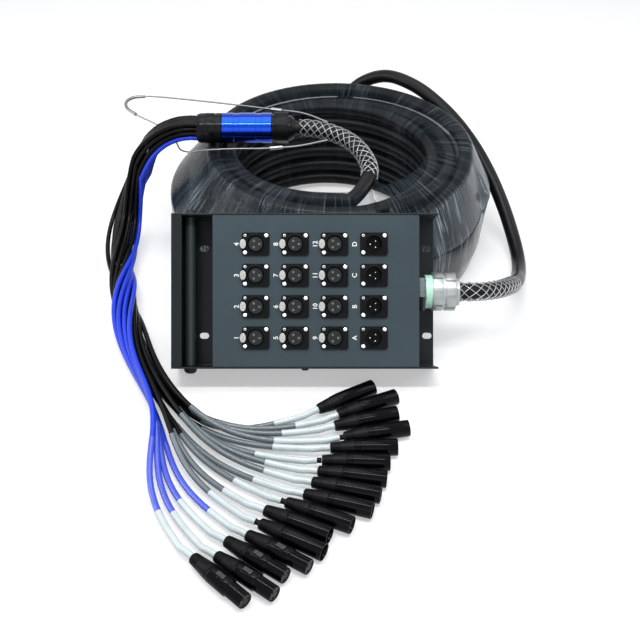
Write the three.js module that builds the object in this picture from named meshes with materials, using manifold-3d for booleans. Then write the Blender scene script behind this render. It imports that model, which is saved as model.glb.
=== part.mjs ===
// Stage box snake: a leaning stage box, its coiled multicore trunk, the splitter and sixteen tails.
// Millimetres, +Z up. The stage box leans back on the coil; X runs along its long side.
import * as THREE from 'three';
import { mergeVertices } from 'three/addons/utils/BufferGeometryUtils.js';
import Module from 'manifold-3d';

const wasm = await Module();
wasm.setup();

// Clearances and cuts
const seatGap = 0.3;
const cutOverrun = 1;
const cornerSegments = 1;

// Stage box: folded chassis, raised front panel, handle bar
const chassisWidth = 302.5;
const chassisHeight = 176;
const chassisDepth = 55;
const sheet = 2;
const leanBack = THREE.MathUtils.degToRad(39);
const flangeLeft = 47;
const flangeRight = 22;
const sideWall = 1.6;
const panelSheet = 1.6;
const cornerFold = 3;
const endLipWide = 12;

// Mounting slots in the two flanges
const slotLength = 11;
const slotWidth = 7;
const slotSpread = 103;
const slotFromWallLeft = 15.5;
const slotFromWallRight = 14.5;

// Handle bar between the cheeks, held by a domed screw at each end
const handleRadius = 6;
const handleFromEdge = 19;
const handleHeight = 32;
const handleScrewRadius = 2.2;
const handleHeadRadius = 7.5;
const handleHeadHeight = 4.5;
const domeShoulderShare = 0.75;
const domeRimShare = 1 / 3;

// Grid of sockets on the panel
const socketColumns = 4;
const socketRows = 4;
const inputColumns = 3;
const columnPitch = 44.5;
const rowPitch = 35.3;
const gridShiftX = 1.2;

// Panel socket
const flangeWide = 31;
const flangeTall = 26;
const flangeThick = 2;
const flangeCorner = 3;
const bodyRadius = 11.8;
const bodyDepth = 20;
const ringRadius = 10.5;
const ringHeight = 1.8;
const ringInner = 9.4;
const insertRadius = 8;
const insertSunk = 0.8;
const shellGapDepth = 11;
const contactRadius = 1.3;
const contactDepth = 5;
const contactCircle = 4.2;
const pinRadius = 1.2;
const pinSetBack = 6;
const recessRadius = 9.3;
const recessDepth = 15.5;
const socketSteps = 10;
const roundSteps = 12;

// Latch tab of a panel socket
const tabWide = 7;
const tabTall = 10.7;
const tabThick = 1.4;
const tabOffset = 14.3;
const tabTravel = 1.5;
const tabRestGap = 0.2;
const stemWide = 2.7;
const stemTall = 5.2;

// Cable gland on the stage box
const threadRadius = 15;
const glandRingRadius = 19.5;
const glandRingLength = 8.5;
const threadShown = 8.5;
const nutRadius = 22;
const nutLength = 26.5;
const nutGroove = 1.2;
const nutGrooveWide = 3;
const collarRadius = 17;
const collarLength = 4.75;
const lockNutRadius = 19;
const lockNutLength = 5;
const seatNutRadius = 18.5;
const glandSteps = 16;

// Trunk cable and its coil: four layers, each a helix, one unbroken cable
const trunkDiameter = 18.5;
const trunkSides = 8;
const boxLeadSteps = 26;
const fanLeadSteps = 12;
const coilHole = 124;
const layerPitch = 22.8;
const turnPitch = 21.8;
const rowsHigh = 7;
const coilSides = 6;
const stepsPerTurn = 16;
const coilCentreY = 244.7;
const coilCentreX = 20;
const outerLayerDrift = 3;
const coilStartAngle = -93.5;
const halfTurn = 0.5;
const quarterTurn = 0.25;
const firstLayerTurns = 5.74;
const secondLayerTurns = 6;
const thirdLayerFront = 106;
const coilEndAngle = 95;
const coilWholeTurns = 22;
const fourthLayerPitch = 22;

// Splitter lying across the coil
const splitterRadius = 19.5;
const splitterRest = 0.4;
const splitterY = 240;
const splitterLeft = -154;
const outletLength = 31.5;
const barrelLength = 64;
const inletLength = 29.5;
const barrelGroove = 0.8;
const barrelGrooveWide = 2;
const splitterSteps = 16;
const outletBevel = 1.5;
const outletTaperShare = 0.22;
const outletShoulderShare = 0.4;
const hexAcross = 37;
const hexSides = 6;
const hexLengthShare = 0.72;
const inletFlangeRadius = 18;
const inletFlangeShare = 0.18;
const capRadius = 16;
const capStartShare = 0.5;
const capEndShare = 0.85;
const capMouthWall = 1.2;

// Pulling bail and its thimble
const bailRadius = 1.1;
const thimbleRadius = 2.4;
const ferruleRadius = 2.6;
const ferruleLength = 16;
const bailSides = 6;
const bailSteps = 24;
const thimbleSteps = 5;
const eyeFirst = 4;
const eyeLast = 9;

// Tails
const tailRadius = 3;
const tailSides = 8;
const tailStep = 43;
const bunchRadius = 16.5;
const bunchSides = 10;
const bunchSteps = 20;
const tailCount = 16;
const tailsPerColumn = 4;
const tailSpacing = 6.4;
const bunchOverlap = 8;
const tailLeave = 24;
const tailRunIn = 42;
const tailBend = 70;
const tailSpreadShare = 0.6;
const tailFallShare = 0.7;
const bootRunIn = 9;

// Cable plugs
const plugLength = 72;
const bootRadius = 6;
const bootTop = 8.9;
const bootLength = 26;
const shellRadius = 9.3;
const mouthRadius = 8.2;
const mouthDepth = 16.5;
const noseRadius = 8.1;
const noseLength = 21;
const noseBevel = 1.2;
const plugSteps = 10;
const buttonLength = 10;
const buttonWide = 4.6;
const buttonHeight = 3.6;
const buttonProud = 1.3;
const buttonTravel = 1.2;
const buttonFromMouth = 27;
const contactSides = 5;
const inputCount = 12;

// Materials
const finish = (color, roughness, metalness) =>
  new THREE.MeshStandardMaterial({ color, roughness, metalness });
const blackSteel = finish(0x17191b, 0.45, 0.3);
const panelBlack = finish(0x30363a, 0.4, 0.3);
const socketBlack = finish(0x0e0f10, 0.4, 0.2);
const latchSilver = finish(0xd9d8cf, 0.35, 0.8);
const glandNickel = finish(0xc9cccd, 0.3, 0.9);
const cableBlack = finish(0x101112, 0.6, 0);
const anodisedBlue = finish(0x1530d8, 0.3, 0.8);
const wireSteel = finish(0xa8abad, 0.35, 0.9);
const plugBlack = finish(0x0c0d0e, 0.35, 0.5);

// Solids
function toSolid(geometry) {
  const bare = geometry.index ? geometry.toNonIndexed() : geometry.clone();
  bare.deleteAttribute('normal');
  bare.deleteAttribute('uv');
  const merged = mergeVertices(bare, 1e-4);
  return new wasm.Manifold(new wasm.Mesh({
    numProp: 3,
    vertProperties: Float32Array.from(merged.attributes.position.array),
    triVerts: Uint32Array.from(merged.index.array),
  }));
}

function toGeometry(solid) {
  const mesh = solid.getMesh();
  const geometry = new THREE.BufferGeometry();
  geometry.setAttribute('position', new THREE.BufferAttribute(mesh.vertProperties, 3));
  geometry.setIndex(new THREE.BufferAttribute(mesh.triVerts, 1));
  geometry.computeVertexNormals();
  return geometry;
}

const joinAll = (solids) => solids.reduce((whole, next) => whole.add(next));

function block(low, high) {
  const size = high.map((value, i) => value - low[i]);
  const middle = high.map((value, i) => (value + low[i]) / 2);
  return toSolid(new THREE.BoxGeometry(...size).translate(...middle));
}

// A turned piece: profile points are [radius, height], its axis is Z
function turned(profile, steps) {
  const points = profile.map(([radius, height]) => new THREE.Vector2(radius, height));
  points.push(points[0].clone());
  return toSolid(new THREE.LatheGeometry(points, steps).rotateX(Math.PI / 2));
}

function cylinder(radius, from, to, steps) {
  return turned([[0, from], [radius, from], [radius, to], [0, to]], steps);
}

function extruded(shape, from, to) {
  const geometry = new THREE.ExtrudeGeometry(shape, {
    depth: to - from,
    bevelEnabled: false,
    curveSegments: cornerSegments,
  });
  return toSolid(geometry.translate(0, 0, from));
}

function roundedPlate(width, height, corner) {
  const shape = new THREE.Shape();
  const halfW = width / 2;
  const halfH = height / 2;
  shape.moveTo(corner - halfW, -halfH);
  shape.lineTo(halfW - corner, -halfH);
  shape.absarc(halfW - corner, corner - halfH, corner, -Math.PI / 2, 0);
  shape.absarc(halfW - corner, halfH - corner, corner, 0, Math.PI / 2);
  shape.absarc(corner - halfW, halfH - corner, corner, Math.PI / 2, Math.PI);
  shape.absarc(corner - halfW, corner - halfH, corner, Math.PI, Math.PI * 1.5);
  return shape;
}

function roundOutline(radiusX, radiusY, steps) {
  const points = Array.from({ length: steps }, (_, i) => {
    const angle = (i / steps) * Math.PI * 2;
    return new THREE.Vector2(Math.cos(angle) * radiusX, Math.sin(angle) * radiusY);
  });
  return new THREE.Shape(points);
}

// A round tube along a route
function tube(route, radius, sides, steps) {
  const curve = new THREE.CatmullRomCurve3(route, false, 'centripetal');
  return new THREE.ExtrudeGeometry(roundOutline(radius, radius, sides), {
    steps,
    extrudePath: curve,
    bevelEnabled: false,
  });
}

const at = (x, y, z) => new THREE.Vector3(x, y, z);

function named(name, geometry, material) {
  const mesh = new THREE.Mesh(geometry, material);
  mesh.name = name;
  return mesh;
}

// Stage box frame: local X along the box, local Y up its panel, local Z out of its panel
const railReach = threadShown + glandRingLength + nutLength + collarLength;
const halfWidth = chassisWidth / 2;
const wallLeftX = flangeLeft - halfWidth;
const wallRightX = halfWidth - flangeRight;
const glandEndX = wallRightX + railReach;
const boxShiftX = (halfWidth - glandEndX) / 2;
const boxShiftY = (chassisDepth * Math.cos(leanBack) - chassisHeight * Math.sin(leanBack)) / 2;
const midHeight = chassisHeight / 2;
const panelFace = chassisDepth;

const stageBox = new THREE.Group();
stageBox.rotation.x = Math.PI / 2 - leanBack;
stageBox.position.set(boxShiftX, boxShiftY, 0);

function buildChassis() {
  const base = block([-halfWidth, 0, 0], [halfWidth, chassisHeight, sheet]);
  const lowCheek = block([-halfWidth, 0, 0], [halfWidth, sheet, chassisDepth]);
  const highCheek = lowCheek.translate([0, chassisHeight - sheet, 0]);
  const wallTop = panelFace - panelSheet - seatGap;
  const leftWall = block([wallLeftX, 0, 0], [wallLeftX + sideWall, chassisHeight, wallTop]);
  const rightWall = block([wallRightX - sideWall, 0, 0], [wallRightX, chassisHeight, wallTop]);
  const lip = block([wallLeftX, 0, wallTop - sheet], [wallRightX, cornerFold + sheet, wallTop]);
  const highLip = lip.translate([0, chassisHeight - cornerFold - sheet, 0]);
  const endWall = block([-halfWidth, 0, 0], [sideWall - halfWidth, chassisHeight, chassisDepth]);
  const endLip = block([-halfWidth, 0, chassisDepth - sheet], [endLipWide - halfWidth, chassisHeight, chassisDepth]);
  let body = joinAll([base, lowCheek, highCheek, leftWall, rightWall, lip, highLip, endWall, endLip]);
  const slotOutline = roundedPlate(slotLength, slotWidth, slotWidth / 2 - seatGap);
  const slot = extruded(slotOutline, -cutOverrun, sheet + cutOverrun);
  for (const x of [wallLeftX - slotFromWallLeft, wallRightX + slotFromWallRight]) {
    for (const side of [-1, 1]) {
      body = body.subtract(slot.translate([x, midHeight + (side * slotSpread) / 2, 0]));
    }
  }
  const threadHole = cylinder(threadRadius + seatGap * 2, -sideWall - cutOverrun, cutOverrun, glandSteps);
  body = body.subtract(threadHole.rotate([0, 90, 0]).translate([wallRightX, midHeight, chassisDepth / 2]));
  const holeRadius = handleScrewRadius + seatGap * 2;
  const screwHole = cylinder(holeRadius, -cutOverrun, chassisHeight + cutOverrun, roundSteps);
  const drilled = screwHole.rotate([-90, 0, 0]).translate([handleFromEdge - halfWidth, 0, handleHeight]);
  return body.subtract(drilled);
}

const socketPlaces = [];
for (let column = 0; column < socketColumns; column += 1) {
  for (let row = 0; row < socketRows; row += 1) {
    socketPlaces.push({
      column,
      row,
      x: (wallLeftX + wallRightX) / 2 - gridShiftX + (column - (socketColumns - 1) / 2) * columnPitch,
      y: midHeight + (row - (socketRows - 1) / 2) * rowPitch,
    });
  }
}

function buildPanel() {
  const edge = sheet + seatGap;
  const shape = new THREE.Shape();
  shape.moveTo(wallLeftX, edge);
  shape.lineTo(wallRightX, edge);
  shape.lineTo(wallRightX, chassisHeight - edge);
  shape.lineTo(wallLeftX, chassisHeight - edge);
  const cutOut = (bodyRadius + seatGap) / Math.cos(Math.PI / socketSteps);
  for (const place of socketPlaces) {
    const centre = new THREE.Vector2(place.x, place.y);
    const hole = roundOutline(cutOut, cutOut, socketSteps).getPoints();
    shape.holes.push(new THREE.Path(hole.map((point) => point.add(centre))));
  }
  return extruded(shape, panelFace - panelSheet, panelFace);
}

function buildHandle() {
  const inside = sheet + seatGap;
  const bar = cylinder(handleRadius, inside, chassisHeight - inside, roundSteps);
  const shankOverrun = seatGap + cutOverrun;
  const shank = cylinder(handleScrewRadius, -shankOverrun, chassisHeight + shankOverrun, roundSteps);
  const dome = turned([
    [0, 0],
    [handleHeadRadius, 0],
    [handleHeadRadius, handleHeadHeight * domeRimShare],
    [handleHeadRadius * domeShoulderShare, handleHeadHeight * domeShoulderShare],
    [0, handleHeadHeight],
  ], roundSteps);
  const farDome = dome.translate([0, 0, chassisHeight + seatGap]);
  const nearDome = dome.rotate([180, 0, 0]).translate([0, 0, -seatGap]);
  return joinAll([bar, shank, nearDome, farDome]).rotate([-90, 0, 0])
    .translate([handleFromEdge - halfWidth, 0, handleHeight]);
}

function buildGland() {
  const ringEnd = threadShown + glandRingLength;
  const nutEnd = ringEnd + nutLength;
  const grooveMid = ringEnd + nutLength / 2;
  const inner = -sideWall - seatGap;
  const profile = [
    [0, inner - lockNutLength],
    [lockNutRadius, inner - lockNutLength],
    [lockNutRadius, inner],
    [threadRadius, inner],
    [threadRadius, seatGap],
    [seatNutRadius, seatGap],
    [seatNutRadius, threadShown],
    [glandRingRadius, threadShown],
    [glandRingRadius, ringEnd],
    [nutRadius, ringEnd],
    [nutRadius, grooveMid - nutGrooveWide / 2],
    [nutRadius - nutGroove, grooveMid - nutGrooveWide / 2],
    [nutRadius - nutGroove, grooveMid + nutGrooveWide / 2],
    [nutRadius, grooveMid + nutGrooveWide / 2],
    [nutRadius, nutEnd],
    [collarRadius, nutEnd],
    [collarRadius, nutEnd + collarLength],
    [0, nutEnd + collarLength],
  ];
  return turned(profile, glandSteps)
    .rotate([0, 90, 0])
    .translate([wallRightX, midHeight, chassisDepth / 2]);
}

// The three contacts of a connector, on their circle
const contactAngles = [0, 120, 240].map((degrees) => THREE.MathUtils.degToRad(degrees));
function atContacts(piece, turn) {
  return contactAngles.map((angle) =>
    piece.translate([Math.cos(angle + turn) * contactCircle, Math.sin(angle + turn) * contactCircle, 0]));
}

const flangeBase = seatGap;
const flangeTop = flangeBase + flangeThick;
const flangeOutline = roundedPlate(flangeWide, flangeTall, flangeCorner);
const seatTop = flangeTop - seatGap * 2;

function openFlange(radius) {
  const opening = cylinder(radius, -cutOverrun, flangeTop + cutOverrun, socketSteps);
  return extruded(flangeOutline, flangeBase, flangeTop).subtract(opening);
}

function buildInputSocket() {
  const ringTop = flangeTop + ringHeight;
  const insertTop = ringTop - insertSunk;
  const shell = turned([
    [0, -bodyDepth],
    [bodyRadius, -bodyDepth],
    [bodyRadius, seatTop],
    [ringRadius, seatTop],
    [ringRadius, ringTop],
    [ringInner, ringTop],
    [ringInner, ringTop - shellGapDepth],
    [insertRadius, ringTop - shellGapDepth],
    [insertRadius, insertTop],
    [0, insertTop],
  ], socketSteps);
  let socket = openFlange(ringInner).add(shell);
  const contact = cylinder(contactRadius, insertTop - contactDepth, insertTop + cutOverrun, contactSides);
  for (const hole of atContacts(contact, 0)) socket = socket.subtract(hole);
  const notchX = tabOffset + stemWide / 2 - seatGap;
  const notch = block(
    [-flangeWide / 2 - cutOverrun, -stemTall / 2 - seatGap, flangeBase - cutOverrun],
    [-notchX + stemWide, stemTall / 2 + seatGap, flangeTop + cutOverrun],
  );
  return socket.subtract(notch);
}

function buildReturnSocket() {
  const ringTop = flangeTop + ringHeight;
  const floor = ringTop - recessDepth;
  const shell = turned([
    [0, -bodyDepth],
    [bodyRadius, -bodyDepth],
    [bodyRadius, seatTop],
    [ringRadius, seatTop],
    [ringRadius, ringTop],
    [recessRadius, ringTop],
    [recessRadius, floor],
    [0, floor],
  ], socketSteps);
  const pin = cylinder(pinRadius, floor - seatGap, ringTop - pinSetBack, contactSides);
  return joinAll([openFlange(recessRadius), shell, ...atContacts(pin, Math.PI)]);
}

function buildTab() {
  const plateBase = flangeTop + tabTravel + tabRestGap;
  const outline = roundOutline(tabWide / 2, tabTall / 2, socketSteps);
  const plate = extruded(outline, plateBase, plateBase + tabThick);
  const stem = block(
    [seatGap - stemWide / 2, -stemTall / 2, flangeTop - seatGap],
    [stemWide / 2 - seatGap, stemTall / 2, plateBase + tabThick / 2],
  );
  return plate.add(stem).translate([-tabOffset, 0, 0]);
}

stageBox.add(named('chassis', toGeometry(buildChassis()), blackSteel));
stageBox.add(named('front_panel', toGeometry(buildPanel()), panelBlack));
stageBox.add(named('handle_bar', toGeometry(buildHandle()), blackSteel));
stageBox.add(named('box_gland', toGeometry(buildGland()), glandNickel));

const inputSocket = toGeometry(buildInputSocket());
const returnSocket = toGeometry(buildReturnSocket());
const latchTab = toGeometry(buildTab());
for (const place of socketPlaces) {
  const isInput = place.column < inputColumns;
  const number = place.column * socketRows + place.row + 1;
  const label = isInput ? String(number).padStart(2, '0') : 'abcd'[place.row];
  const socket = isInput
    ? named(`input_socket_${label}`, inputSocket, socketBlack)
    : named(`return_socket_${label}`, returnSocket, socketBlack);
  socket.position.set(place.x, place.y, panelFace);
  stageBox.add(socket);
  if (isInput) {
    const tab = named(`input_latch_${label}`, latchTab, latchSilver);
    tab.position.copy(socket.position);
    stageBox.add(tab);
  }
}

// Coil: radius and height change stretch by stretch, at a steady rate in each
const trunkRadius = trunkDiameter / 2;
const coilFloor = trunkRadius;
const layerCentreX = (layer) => coilCentreX - Math.max(layer - 1, 0) * outerLayerDrift;
const coilTop = coilFloor + (rowsHigh - 1) * turnPitch;
const thirdLayerTurns = (thirdLayerFront - coilFloor) / turnPitch;
const layerRadius = (layer) => coilHole + trunkRadius + layer * layerPitch;
const innerStretches = [
  { turns: firstLayerTurns, layer: 0, height: coilFloor },
  { turns: halfTurn, layer: 1, height: coilFloor },
  { turns: secondLayerTurns, layer: 1, height: coilTop },
  { turns: halfTurn, layer: 2, height: coilTop },
  { turns: quarterTurn, layer: 2, height: thirdLayerFront },
  { turns: thirdLayerTurns, layer: 2, height: coilFloor },
  { turns: halfTurn, layer: 3, height: coilFloor },
];
const coilTurns = coilWholeTurns - (coilEndAngle - coilStartAngle) / 360;
const lastTurns = innerStretches.reduce((rest, stretch) => rest - stretch.turns, coilTurns);
const coilStretches = [
  ...innerStretches,
  { turns: lastTurns, layer: 3, height: coilFloor + lastTurns * fourthLayerPitch },
];

function coilPoint(turn) {
  let from = { layer: 0, height: coilTop };
  let left = turn;
  let share = 1;
  let to = from;
  for (const stretch of coilStretches) {
    to = stretch;
    share = Math.min(left / stretch.turns, 1);
    if (left <= stretch.turns) break;
    left -= stretch.turns;
    from = stretch;
  }
  const mix = (a, b) => a + (b - a) * share;
  const radius = mix(layerRadius(from.layer), layerRadius(to.layer));
  const centreX = mix(layerCentreX(from.layer), layerCentreX(to.layer));
  const angle = THREE.MathUtils.degToRad(coilStartAngle) - turn * Math.PI * 2;
  const x = centreX + Math.cos(angle) * radius;
  const y = coilCentreY + Math.sin(angle) * radius;
  return at(x, y, mix(from.height, to.height));
}

function coilRoute() {
  const count = Math.floor(coilTurns * stepsPerTurn);
  const points = Array.from({ length: count + 1 }, (_, i) => coilPoint(i / stepsPerTurn));
  points.push(coilPoint(coilTurns));
  const nudge = 1 / 1000;
  const runIn = coilPoint(0).sub(coilPoint(nudge)).setZ(0).setLength(trunkDiameter);
  const runOut = coilPoint(coilTurns).sub(coilPoint(coilTurns - nudge)).setZ(0).setLength(trunkDiameter);
  points.unshift(points[0].clone().add(runIn));
  points.push(points.at(-1).clone().add(runOut));
  return points;
}

// A tube whose section keeps a corner up, ring by ring, so that neighbouring turns lie flat to each other
function woundTube(points, radius, sides) {
  const up = at(0, 0, 1);
  const positions = [];
  points.forEach((point, i) => {
    const next = points[Math.min(i + 1, points.length - 1)];
    const ahead = next.clone().sub(points[Math.max(i - 1, 0)]).normalize();
    const side = ahead.clone().cross(up).normalize();
    const lift = side.clone().cross(ahead);
    for (let k = 0; k < sides; k += 1) {
      const angle = (k / sides) * Math.PI * 2 + Math.PI / 2;
      const corner = point.clone().addScaledVector(side, Math.cos(angle) * radius)
        .addScaledVector(lift, Math.sin(angle) * radius);
      positions.push(...corner.toArray());
    }
  });
  const index = [];
  for (let ring = 0; ring < points.length - 1; ring += 1) {
    for (let k = 0; k < sides; k += 1) {
      const a = ring * sides + k;
      const b = ring * sides + ((k + 1) % sides);
      index.push(a, a + sides, b, b, a + sides, b + sides);
    }
  }
  const last = (points.length - 1) * sides;
  for (let k = 1; k < sides - 1; k += 1) {
    index.push(0, k, k + 1);
    index.push(last, last + k + 1, last + k);
  }
  const geometry = new THREE.BufferGeometry();
  geometry.setAttribute('position', new THREE.Float32BufferAttribute(positions, 3));
  geometry.setIndex(index);
  geometry.computeVertexNormals();
  return geometry;
}

const coil = coilRoute();

// Least gap between the cable's own turns, measured centre to centre less one diameter
function leastGap(points) {
  const curve = points.slice(1, -1);
  let least = Infinity;
  for (let i = 0; i < curve.length; i += 1) {
    for (let j = i + Math.floor(stepsPerTurn / 2); j < curve.length - 1; j += 1) {
      const edge = new THREE.Line3(curve[j], curve[j + 1]);
      least = Math.min(least, edge.closestPointToPoint(curve[i], true, at(0, 0, 0)).distanceTo(curve[i]));
    }
  }
  return least - trunkDiameter;
}
console.log(`coil: ${coilTurns.toFixed(1)} turns, least gap between turns ${leastGap(coil).toFixed(2)} mm`);

const coilStart = coil[0];
const coilStartWay = coil[0].clone().sub(coil[1]).normalize();
const coilEnd = coil.at(-1);
const coilEndWay = coil.at(-1).clone().sub(coil.at(-2)).normalize();

// Splitter
const splitterZ = coilTop + trunkRadius + splitterRadius + splitterRest;
const barrelX = splitterLeft + outletLength + seatGap;
const inletX = barrelX + barrelLength + seatGap;
const splitterRight = inletX + inletLength;
const acrossX = (solid, x) => solid.rotate([0, 90, 0]).translate([x, splitterY, splitterZ]);

function buildBarrel() {
  const profile = [[0, 0], [splitterRadius, 0]];
  for (const share of [1 / 3, 2 / 3]) {
    const middle = barrelLength * share;
    profile.push([splitterRadius, middle - barrelGrooveWide / 2]);
    profile.push([splitterRadius - barrelGroove, middle - barrelGrooveWide / 2]);
    profile.push([splitterRadius - barrelGroove, middle + barrelGrooveWide / 2]);
    profile.push([splitterRadius, middle + barrelGrooveWide / 2]);
  }
  profile.push([splitterRadius, barrelLength], [0, barrelLength]);
  return acrossX(turned(profile, splitterSteps), barrelX);
}

function buildOutlet() {
  const neck = bunchRadius + seatGap;
  const dome = turned([
    [0, 0],
    [neck, 0],
    [splitterRadius - outletBevel, outletLength * outletTaperShare],
    [splitterRadius, outletLength * outletShoulderShare],
    [splitterRadius, outletLength],
    [0, outletLength],
  ], splitterSteps);
  return acrossX(dome, splitterLeft);
}

function buildInlet() {
  const hexRadius = hexAcross / Math.sqrt(3);
  const hex = cylinder(hexRadius, 0, inletLength * hexLengthShare, hexSides);
  const inletFlange = cylinder(inletFlangeRadius, 0, inletLength * inletFlangeShare, splitterSteps);
  const cap = turned([
    [0, inletLength * capStartShare],
    [capRadius, inletLength * capStartShare],
    [capRadius, inletLength * capEndShare],
    [trunkRadius + capMouthWall, inletLength],
    [0, inletLength],
  ], splitterSteps);
  return acrossX(joinAll([hex, inletFlange, cap]), inletX);
}

// Routes of the free cables, chosen by hand in the object's frame
stageBox.updateMatrixWorld();
const glandMouth = stageBox.localToWorld(at(glandEndX + seatGap, midHeight, chassisDepth / 2));
const boxLeadRoute = [
  glandMouth,
  glandMouth.clone().add(at(trunkDiameter, 0, 0)),
  at(208, 16, 76),
  at(231, 45, 59),
  at(250, 84, 37),
  at(263, 128, 16),
  at(270, 168, 10),
  at(268, 206, 20),
  at(256, 246, 48),
  at(236, 285, 82),
  at(210, 325, 112),
  at(177, 365, 136),
  at(138, 402, 152),
  at(100, 432, 152),
  at(66, 448, 134),
  at(40, 450, 108),
  coilEnd.clone().addScaledVector(coilEndWay, trunkDiameter / 2),
  coilEnd.clone().addScaledVector(coilEndWay, seatGap),
];
const fanLeadRoute = [
  at(splitterRight + seatGap, splitterY, splitterZ),
  at(splitterRight + trunkDiameter, splitterY, splitterZ),
  at(20, 232, 166),
  at(44, 215, 162),
  at(60, 190, 156),
  at(66, 163, 150),
  at(59, 138, 145),
  coilStart.clone().addScaledVector(coilStartWay, trunkDiameter / 2),
  coilStart.clone().addScaledVector(coilStartWay, seatGap),
];

const bunchRoute = [
  at(splitterLeft - seatGap, splitterY, splitterZ),
  at(splitterLeft - trunkDiameter, splitterY, splitterZ),
  at(-197, 240, 161),
  at(-219, 241, 142),
  at(-237, 245, 108),
  at(-251, 250, 72),
  at(-262, 246, 41),
  at(-267, 227, 22),
  at(-264, 186, 17),
  at(-256, 138, 17),
  at(-248, 90, 17),
  at(-238, 45, 17),
  at(-225, 2, 17),
  at(-205, -48, 17),
  at(-184, -88, 17),
  at(-163, -118, 17),
];

// Where each tail's boot starts on the floor and the way its plug points, in degrees from +X
const bootPlaces = [
  [2, -116, 30], [24, -125, 24], [20, -142, 15], [30, -159, 11],
  [15, -175, 1], [6, -193, -2], [2, -208, -9], [-4, -223, -14],
  [-12, -239, -17], [-30, -250, -24], [-51, -260, -26], [-55, -277, -29],
  [-67, -291, -32], [-87, -298, -35], [-95, -316, -37], [-117, -318, -43],
];
const plugZ = shellRadius + seatGap / 2;
const plugWay = (degrees) => {
  const angle = THREE.MathUtils.degToRad(degrees);
  return at(Math.cos(angle), Math.sin(angle), 0);
};

// A tail leaves the bunch in its own row and column, falls to the floor and runs into its boot
function tailRoute(i) {
  const [x, y, degrees] = bootPlaces[i];
  const way = plugWay(degrees);
  const boot = at(x, y, plugZ).addScaledVector(way, -seatGap);
  const end = bunchRoute.at(-1);
  const along = end.clone().sub(bunchRoute.at(-2)).setZ(0).normalize();
  const across = at(-along.y, along.x, 0);
  const column = Math.floor(i / tailsPerColumn);
  const level = i % tailsPerColumn;
  const aside = ((tailsPerColumn - 1) / 2 - column) * tailSpacing;
  const start = end.clone().addScaledVector(across, aside).addScaledVector(along, -bunchOverlap);
  start.z = end.z + (level - (tailsPerColumn - 1) / 2) * tailSpacing;
  const leave = start.clone().addScaledVector(along, tailLeave);
  const spread = boot.clone().addScaledVector(way, -tailBend - tailRunIn);
  const middle = leave.clone().lerp(spread, tailSpreadShare);
  middle.z = THREE.MathUtils.lerp(start.z, tailRadius + seatGap, tailFallShare);
  const approach = boot.clone().addScaledVector(way, -tailRunIn);
  approach.z = (tailRadius + plugZ) / 2;
  return [start, leave, middle, approach, boot.clone().addScaledVector(way, -bootRunIn), boot];
}

function buildLoom() {
  const solids = [toSolid(tube(bunchRoute, bunchRadius, bunchSides, bunchSteps))];
  for (let i = 0; i < tailCount; i += 1) {
    const route = tailRoute(i);
    const length = new THREE.CatmullRomCurve3(route, false, 'centripetal').getLength();
    solids.push(toSolid(tube(route, tailRadius, tailSides, Math.round(length / tailStep))));
  }
  return joinAll(solids);
}

// Bail: two wire legs, a sleeve round the eye and a ferrule where each leg joins the grip on the trunk
const leadTop = trunkRadius + bailRadius + seatGap;
const bailRoute = [
  at(14, 236, splitterZ + leadTop),
  at(-18, 262, splitterZ + 10),
  at(-60, 285, splitterZ + 4),
  at(-147, 309, splitterZ + 3),
  at(-234, 325, splitterZ + 3),
  at(-250, 321, splitterZ + 3),
  at(-257, 308, splitterZ + 3),
  at(-254, 293, splitterZ + 2),
  at(-240, 278, splitterZ),
  at(-205, 264, 157),
  at(-187, 250, 145),
  at(-178, 232, 142),
  at(-162, 217, 147),
  at(-150, 212, 152),
  at(-109, 209, 156),
  at(-60, 211, 156),
  at(-22, 214, 158),
  at(14, 223, splitterZ - 8),
];

function buildBail() {
  const curve = new THREE.CatmullRomCurve3(bailRoute, false, 'centripetal');
  const wire = toSolid(tube(bailRoute, bailRadius, bailSides, bailSteps));
  const sleeve = toSolid(tube(bailRoute.slice(eyeFirst, eyeLast), thimbleRadius, bailSides, thimbleSteps));
  const ferrule = (from, to) => {
    const way = to.clone().sub(from).setLength(ferruleLength);
    return toSolid(tube([from.clone(), from.clone().add(way)], ferruleRadius, bailSides, 1));
  };
  console.log(`bail wire: ${curve.getLength().toFixed(0)} mm`);
  const highFerrule = ferrule(bailRoute[2], bailRoute[1]);
  const lowFerrule = ferrule(bailRoute.at(-3), bailRoute.at(-2));
  return joinAll([wire, sleeve, highFerrule, lowFerrule]);
}

// Cable plugs, built along +Z from the boot to the mouth, then laid on the floor
function plugShell(front) {
  return turned([
    [0, 0],
    [bootRadius, 0],
    [bootTop, bootLength],
    [shellRadius, bootLength],
    ...front,
  ], plugSteps);
}

function buildMalePlug() {
  const floor = plugLength - mouthDepth;
  const shell = plugShell([
    [shellRadius, plugLength],
    [mouthRadius, plugLength],
    [mouthRadius, floor],
    [0, floor],
  ]);
  const pins = atContacts(cylinder(pinRadius, floor - seatGap, plugLength - pinSetBack, contactSides), 0);
  return joinAll([shell, ...pins]);
}

function buildFemalePlug() {
  const step = plugLength - noseLength;
  let plug = plugShell([
    [shellRadius, step],
    [noseRadius, step + noseBevel],
    [noseRadius, plugLength],
    [0, plugLength],
  ]);
  const hole = cylinder(contactRadius, plugLength - contactDepth, plugLength + cutOverrun, contactSides);
  for (const contact of atContacts(hole, 0)) plug = plug.subtract(contact);
  const pocketEnd = plugLength - buttonFromMouth + seatGap;
  const pocketStart = pocketEnd - buttonLength - seatGap * 2;
  const pocketFloor = shellRadius + buttonProud - buttonHeight - buttonTravel - seatGap;
  const pocketHalf = buttonWide / 2 + seatGap;
  return plug.subtract(block(
    [-pocketHalf, pocketFloor, pocketStart],
    [pocketHalf, shellRadius + cutOverrun, pocketEnd],
  ));
}

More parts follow.
